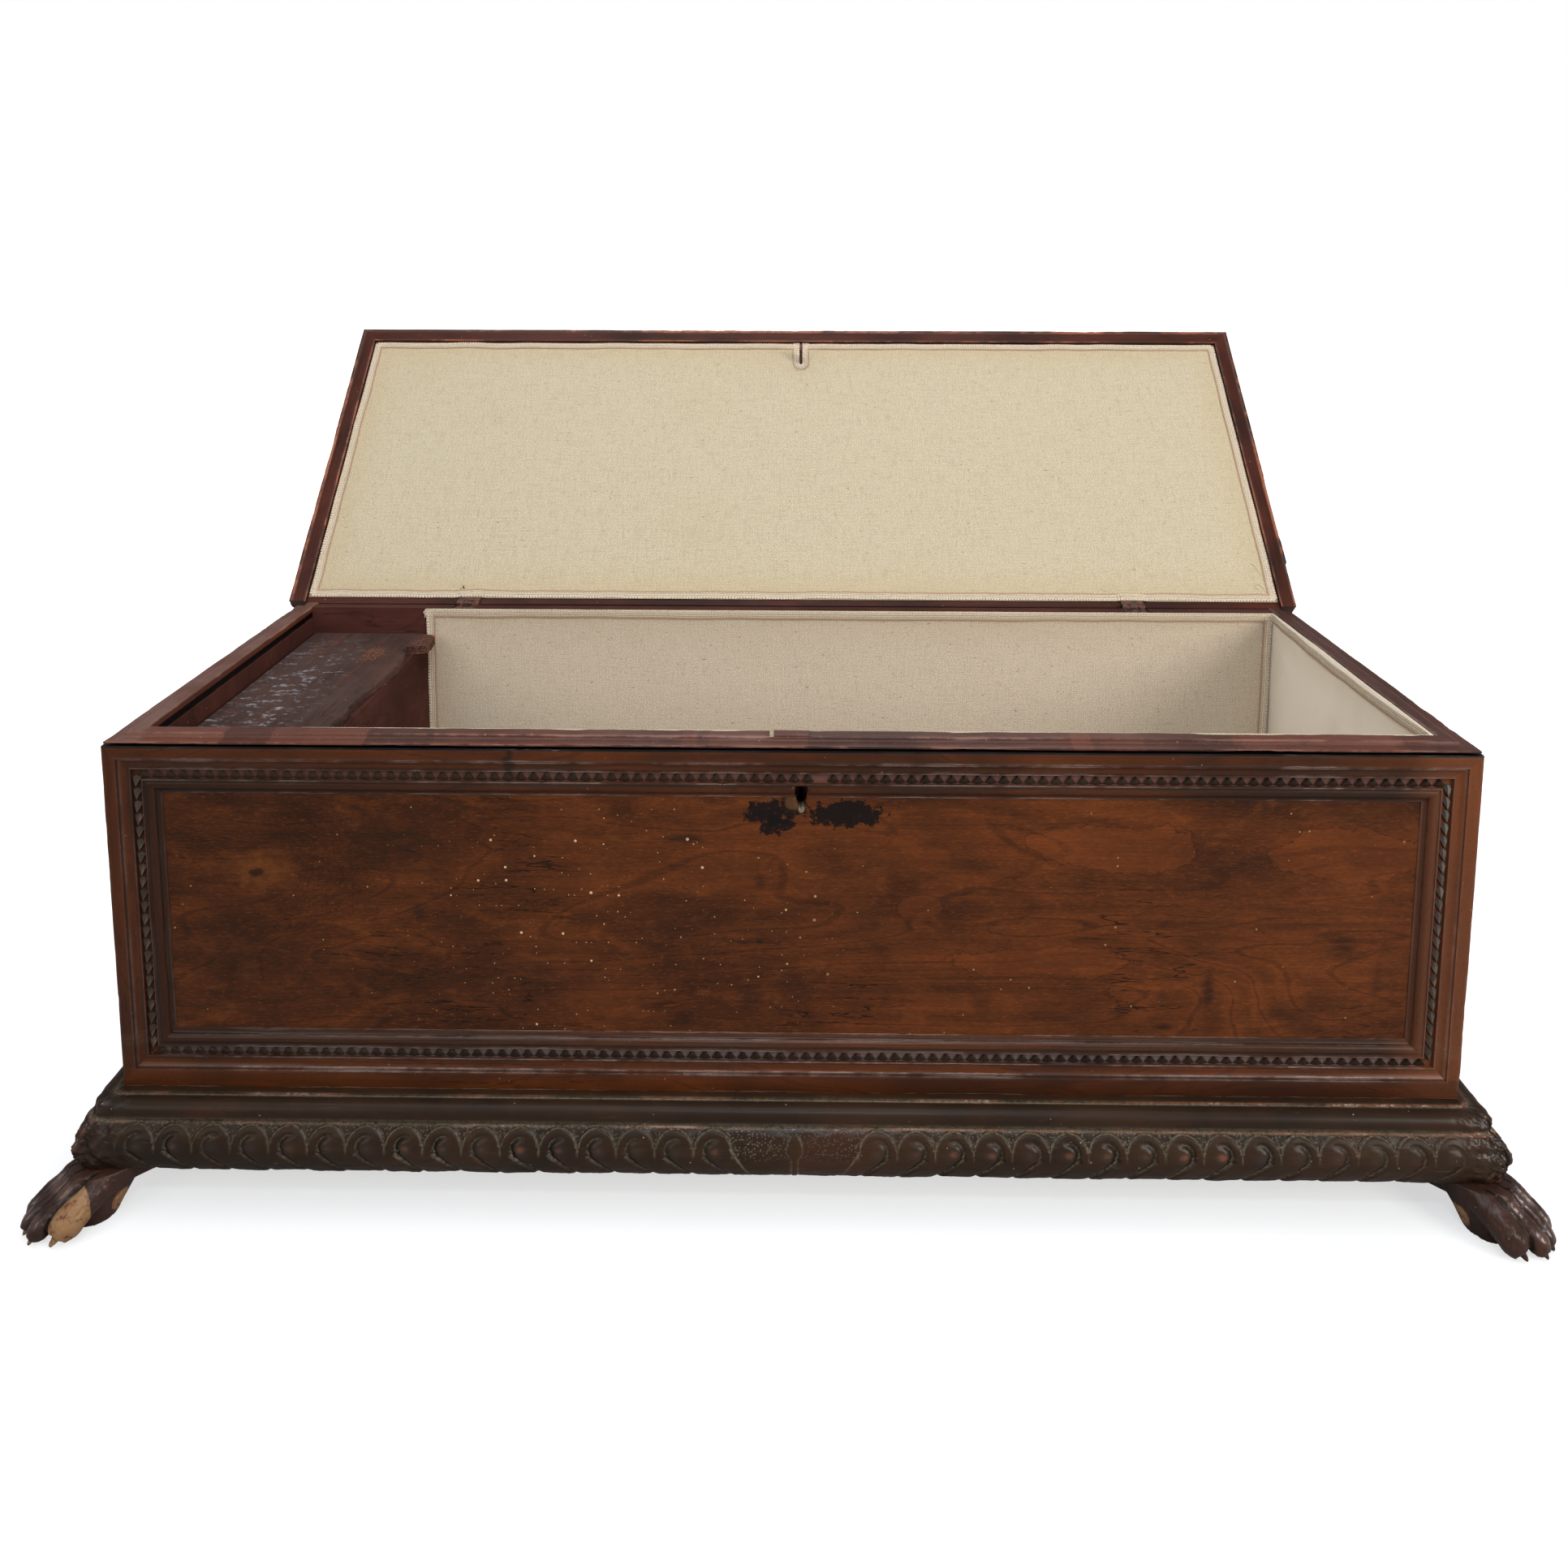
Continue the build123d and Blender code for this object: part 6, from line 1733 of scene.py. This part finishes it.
BRAID_PITCH = 4.6
BRAID_WIDTH = 14.4
BRAID_THICK = 1.2
THREAD_RADIUS = 0.35
half = BRAID_WIDTH / 2
left, right = -LINING_HALF + half, LINING_HALF - half
low, high = LINING_FOOT + half, LINING_HEAD - half


def lid_braid_place(u, v):
    near_staple = np.clip(1 - np.abs(u - KEY_X) / 50, 0, 1) * np.clip((v - 470) / 20, 0, 1)
    return on_lid(u, v, -2.5 + 0.78 * hinge_lift(u, v) - 0.45 * np.clip(2 * near_staple, 0, 1))


bow = SLIT_HALF + half - 1.5
loops = [
    [(right, high), (KEY_X + SLIT_HALF + half - 1, high)],
    [(KEY_X + bow * math.cos(t), SLIT_FOOT + 3 + bow * math.sin(t)) if 0 >= t >= -math.pi else
     (KEY_X + bow * math.copysign(1, t + 1.6), high + half) for t in (0.1, *np.linspace(0, -math.pi, 9), -3.3)],
    [(KEY_X - SLIT_HALF - half + 1, high), (left, high)],
    [(left, high), (left, low)],
    [(left, low), (right, low)],
    [(right, low), (right, high)],
]
unit = braid_unit(BRAID_PITCH, BRAID_WIDTH, BRAID_THICK)
paths = [braid_path(points, lid_braid_place, tuple(LID_OUT), seed=410 + i) for i, points in enumerate(loops)]
braid = row("lid_braid", paths, unit, BRAID_PITCH, GIMP, 0.85, 0.1, 12)


def thread(points):
    """A loose end of sewing thread, with its masks."""
    rows = smooth_path([(*p, THREAD_RADIUS) for p in points], 6)
    ring, faces = swept(rows, 6)
    plain = np.zeros(len(ring))
    return make_mesh("thread", np.array(ring), faces, {"edge": plain, "hollow": plain}, 180)


# Loose ends on the lid: across it, along from the hinge and out of its lined side
THREADS = (
    ((752, 82, -1.9), (758, 80, -1.8), (761, 74, -1.8), (764, 66, -1.8), (767, 60, -1.9)),
    ((757, 34, -1.9), (752, 37, -1.8), (755, 44, -1.8), (761, 42, -1.8), (765, 35, -1.8), (767, 30, -1.9)),
    ((500, 35, -1.9), (508, 30, -1.8), (514, 31, -1.8), (518, 36, -1.9)),
)
threads = [thread([lid_point(*place) for place in places]) for places in THREADS]
show(joined("lid_braid", [braid, *threads]), "lid_braid_gimp", "lid", GIMP, ["lid_braid"])

# ---------------------------------------------------------------------------
# Linings and braid of the main compartment
# ---------------------------------------------------------------------------

FLOOR_LINE = 105.0
WALL_FOOT = 106.0
WALL_TOP = 574.0
CLOTH_RIGHT = 761.0


def waves(u, v, seed, size=0.5):
    flat = np.stack((u, v, 0 * u), 1)
    return size * (0.5 + 0.5 * np.clip(ripple(flat, 160, seed) + 0.3 * ripple(flat, 45, seed + 1), -1, 1))


def lined(name, u_range, v_range, place, missing=None, extra=((), ())):
    """One lining of the case: its cut is as large as its wall."""
    us = grid_values(*u_range, 14, extra[0])
    vs = grid_values(*v_range, 14, extra[1])
    mesh = cloth(name, us, vs, place, missing)
    hang(mesh, f"{name}_linen", "case", CASE_LINEN, [name])


LOCK_LEFT, LOCK_RIGHT, LOCK_FOOT = -48.0, 78.0, 473.0
WIDE, TALL = (LINING_LEFT, CLOTH_RIGHT), (WALL_FOOT, WALL_TOP)
DEEP = (INNER_FRONT + 0.5, INNER_BACK - 0.5)
lined("back_lining", WIDE, TALL, lambda u, v: np.stack((u, INNER_BACK - 1.0 - waves(u, v, 501), v), 1))
lined("right_lining", DEEP, TALL, lambda u, v: np.stack((INNER_SIDE - 1.0 - waves(u, v, 511, 1.2), u, v), 1))
lined("front_lining", WIDE, TALL, lambda u, v: np.stack((u, INNER_FRONT + 1.0 + waves(u, v, 521), v), 1),
      lambda u, v: LOCK_LEFT < u < LOCK_RIGHT and v > LOCK_FOOT,
      ((LOCK_LEFT, LOCK_RIGHT), (LOCK_FOOT,)))
lined("floor_lining", (LINING_LEFT, INNER_SIDE - 0.5), DEEP,
      lambda u, v: np.stack((u, v, FLOOR_LINE + 1.0 + waves(u, v, 531)), 1))


def back_braid_place(u, v):
    return np.stack((u, 0 * u + INNER_BACK - 2.2, v), 1)


LEFT_LINE, RIGHT_LINE, HEAD_LINE = LINING_LEFT + half, CLOTH_RIGHT - 2 - half, WALL_TOP - half
back_loops = (
    ((CLOTH_RIGHT - 9, HEAD_LINE), (LINING_LEFT, HEAD_LINE)),
    ((LEFT_LINE, WALL_TOP - 5), (LEFT_LINE, WALL_FOOT)),
    ((RIGHT_LINE, WALL_FOOT), (RIGHT_LINE, WALL_TOP - 5)),
)
paths = [
    braid_path(points, back_braid_place, (0, -1, 0), seed=601 + 2 * i) for i, points in enumerate(back_loops)
]
braid = row("back_braid", paths, unit, BRAID_PITCH, GIMP, 0.85, 0.1, 13)
show(braid, "back_braid_gimp", "case", GIMP, ["back_braid"])


def right_braid_place(u, v):
    sag = 6.0 * np.clip(1 - ((u - 10) / 240) ** 2, 0, 1)
    return np.stack((0 * u + CLOTH_RIGHT - 2.0, u, v - sag), 1)


right_loop = ((INNER_FRONT + 2, HEAD_LINE), (INNER_BACK - 3, HEAD_LINE))
paths = [braid_path(right_loop, right_braid_place, (-1, 0, 0), seed=607)]
braid = row("right_braid", paths, unit, BRAID_PITCH, GIMP, 0.85, 0.1, 14)
show(braid, "right_braid_gimp", "case", GIMP, ["right_braid"])

# ---------------------------------------------------------------------------
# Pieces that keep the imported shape: finishes and eased edges
# ---------------------------------------------------------------------------

kept = (
    (INNER_WOOD["x"], 1.0, "back_board"),
    (INNER_WOOD["z"], 1.0, "left_end_board right_end_board"),
    (INNER_WOOD["y"], 0.8, "till_side till_bottom"),
    (SOFTWOOD["x"], 0.8, "bottom_board_front bottom_board_middle bottom_board_rear"),
    (SOFTWOOD["y"], 0.8, "bottom_battens"),
    (SOFTWOOD["z"], 0.8, "foot_blocks"),
    (SOFTWOOD["z"], 0.3, "foot_dowels"),
    (BASE_WOOD["z"], 2.0, "rear_left_foot rear_right_foot"),
    (LID_WOOD["x"], 1.0, "lid_board"),
    (IRON, 0.5, "lid_staple"),
    (IRON, 0.4, "lock_case"),
    (IRON, 0.3, "lock_plate lock_bolt"),
    (IRON, 0.3, "left_hinge_case_leaf left_hinge_lid_leaf right_hinge_case_leaf right_hinge_lid_leaf"),
    (IRON, 0.2, "key_pin lock_nails hinge_pins hinge_case_nails hinge_lid_nails"),
)
for node, material, ease in [(nodes[name], *look) for *look, names in kept for name in names.split()]:
    if not node.material_slots:
        node.data.materials.append(material)
    for place in node.material_slots:
        place.material = material
    weld = node.modifiers.new("weld", "WELD")
    weld.merge_threshold = 1e-5
    eased = node.modifiers.new("eased_edges", "BEVEL")
    eased.width = ease * MM
    eased.segments = 2
    eased.limit_method = "ANGLE"
    eased.angle_limit = math.radians(40)

# ---------------------------------------------------------------------------
# Floor, light and camera
# ---------------------------------------------------------------------------


def floor_plane():
    """A pale floor, wide enough to reach out of every view; for the camera it glows, and less near the chest, a
    painted shadow round it.
    """
    mesh = bpy.data.meshes.new("floor")
    reach = 40.0
    corners = [(-reach, -reach, 0), (reach, -reach, 0), (reach, reach, 0), (-reach, reach, 0)]
    mesh.from_pydata(corners, [], [(0, 1, 2, 3)])
    floor = place_object("floor", mesh)
    material, tree, shader = new_material("pale_floor")
    shader.inputs["Base Color"].default_value = (0.42, 0.42, 0.42, 1)
    shader.inputs["Roughness"].default_value = 0.9
    white = put(tree, "ShaderNodeBsdfDiffuse", {"Color": (0.34, 0.34, 0.34, 1)})
    past = object_place(tree)
    zero = (0, 0, 0)
    for operation, other in (
        ("SUBTRACT", (0, 0.15, 0)), ("ABSOLUTE", zero), ("SUBTRACT", (0.85, 0.45, 0)), ("MAXIMUM", zero),
    ):
        past = made("ShaderNodeVectorMath", {0: past, 1: other}, operation=operation)
    away = made("ShaderNodeVectorMath", {0: past}, 1, operation="LENGTH")
    # Painted light and painted shadow: the floor glows for the camera, and the glow is weaker near the chest, a
    # painted shadow round it
    glow_with_painted_shadow = between(away, 0.0, 0.17, 0.6, 0.86) + between(away, 0.17, 1.2, 0.0, 0.4)
    glow = put(tree, "ShaderNodeEmission", {"Color": (1, 1, 1, 1), "Strength": glow_with_painted_shadow})
    lit = put(tree, "ShaderNodeAddShader", {0: white.outputs[0], 1: glow.outputs[0]})
    straight = put(tree, "ShaderNodeLightPath").outputs["Is Camera Ray"]
    mixed = put(tree, "ShaderNodeMixShader", {0: straight, 1: shader.outputs[0], 2: lit.outputs[0]})
    feed(tree.nodes["Material Output"], {0: mixed.outputs[0]})
    mesh.materials.append(material)


def lamp(name, place, aim, size, power, color=(1, 1, 1), depth=None):
    """A soft lamp turned to a point, square unless its depth is given; metres and watts."""
    data = bpy.data.lights.new(name, "AREA")
    data.shape = "RECTANGLE"
    data.size = size
    data.size_y = depth or size
    data.energy = power
    data.color = color
    light = place_object(name, data)
    light.location = place
    light.rotation_euler = (Vector(aim) - Vector(place)).to_track_quat("-Z", "Y").to_euler()


floor_plane()
lamp("overhead", (-0.2, -0.6, 3.4), (0, 0, 0.3), 3.0, 80, (0.92, 0.96, 1.0))
lamp("strip", (0.12, -2.2, 2.7), (0, -0.3, 0.3), 0.6, 23, (0.74, 0.87, 1.0), 0.2)
lamp("front_left", (-2.6, -3.0, 2.3), (0, -0.2, 0.5), 2.0, 38, (1.0, 0.97, 0.93))
lamp("front_right", (2.8, -2.6, 2.0), (0, -0.2, 0.5), 1.6, 112, (1.0, 0.97, 0.93))
lamp("rear", (0.3, 3.4, 2.6), (0, 0.2, 0.4), 2.4, 40)


def studio_backing():
    """White behind the chest, and a dimmer grey for the light that it gives."""
    world = bpy.data.worlds.new("pale_studio")
    world.use_nodes = True
    tree = world.node_tree
    tree.nodes.clear()
    seen = put(tree, "ShaderNodeBackground", {"Color": (1.0, 1.0, 1.0, 1), "Strength": 1.0})
    felt = put(tree, "ShaderNodeBackground", {"Color": (0.96, 0.98, 1.0, 1), "Strength": 0.3})
    straight = put(tree, "ShaderNodeLightPath").outputs["Is Camera Ray"]
    mixed = put(tree, "ShaderNodeMixShader", {0: straight, 1: felt.outputs[0], 2: seen.outputs[0]})
    put(tree, "ShaderNodeOutputWorld", {0: mixed.outputs[0]})
    bpy.context.scene.world = world


studio_backing()
bpy.context.scene.view_settings.view_transform = "Standard"

camera_data = bpy.data.cameras.new("camera")
camera_data.lens = 28.26
camera_data.shift_y = -0.24
camera_data.clip_end = 100
camera = place_object("camera", camera_data)
camera.location = (0.0108, -1.6417, 1.1365)
camera.rotation_mode = "QUATERNION"
YAW, PITCH, ROLL = (math.radians(a) for a in (0.684, 7.175, 0.132))
camera.rotation_quaternion = (
    Quaternion((0, 0, 1), YAW) @ Quaternion((1, 0, 0), math.pi / 2 - PITCH) @ Quaternion((0, 0, 1), ROLL)
)
bpy.context.scene.camera = camera
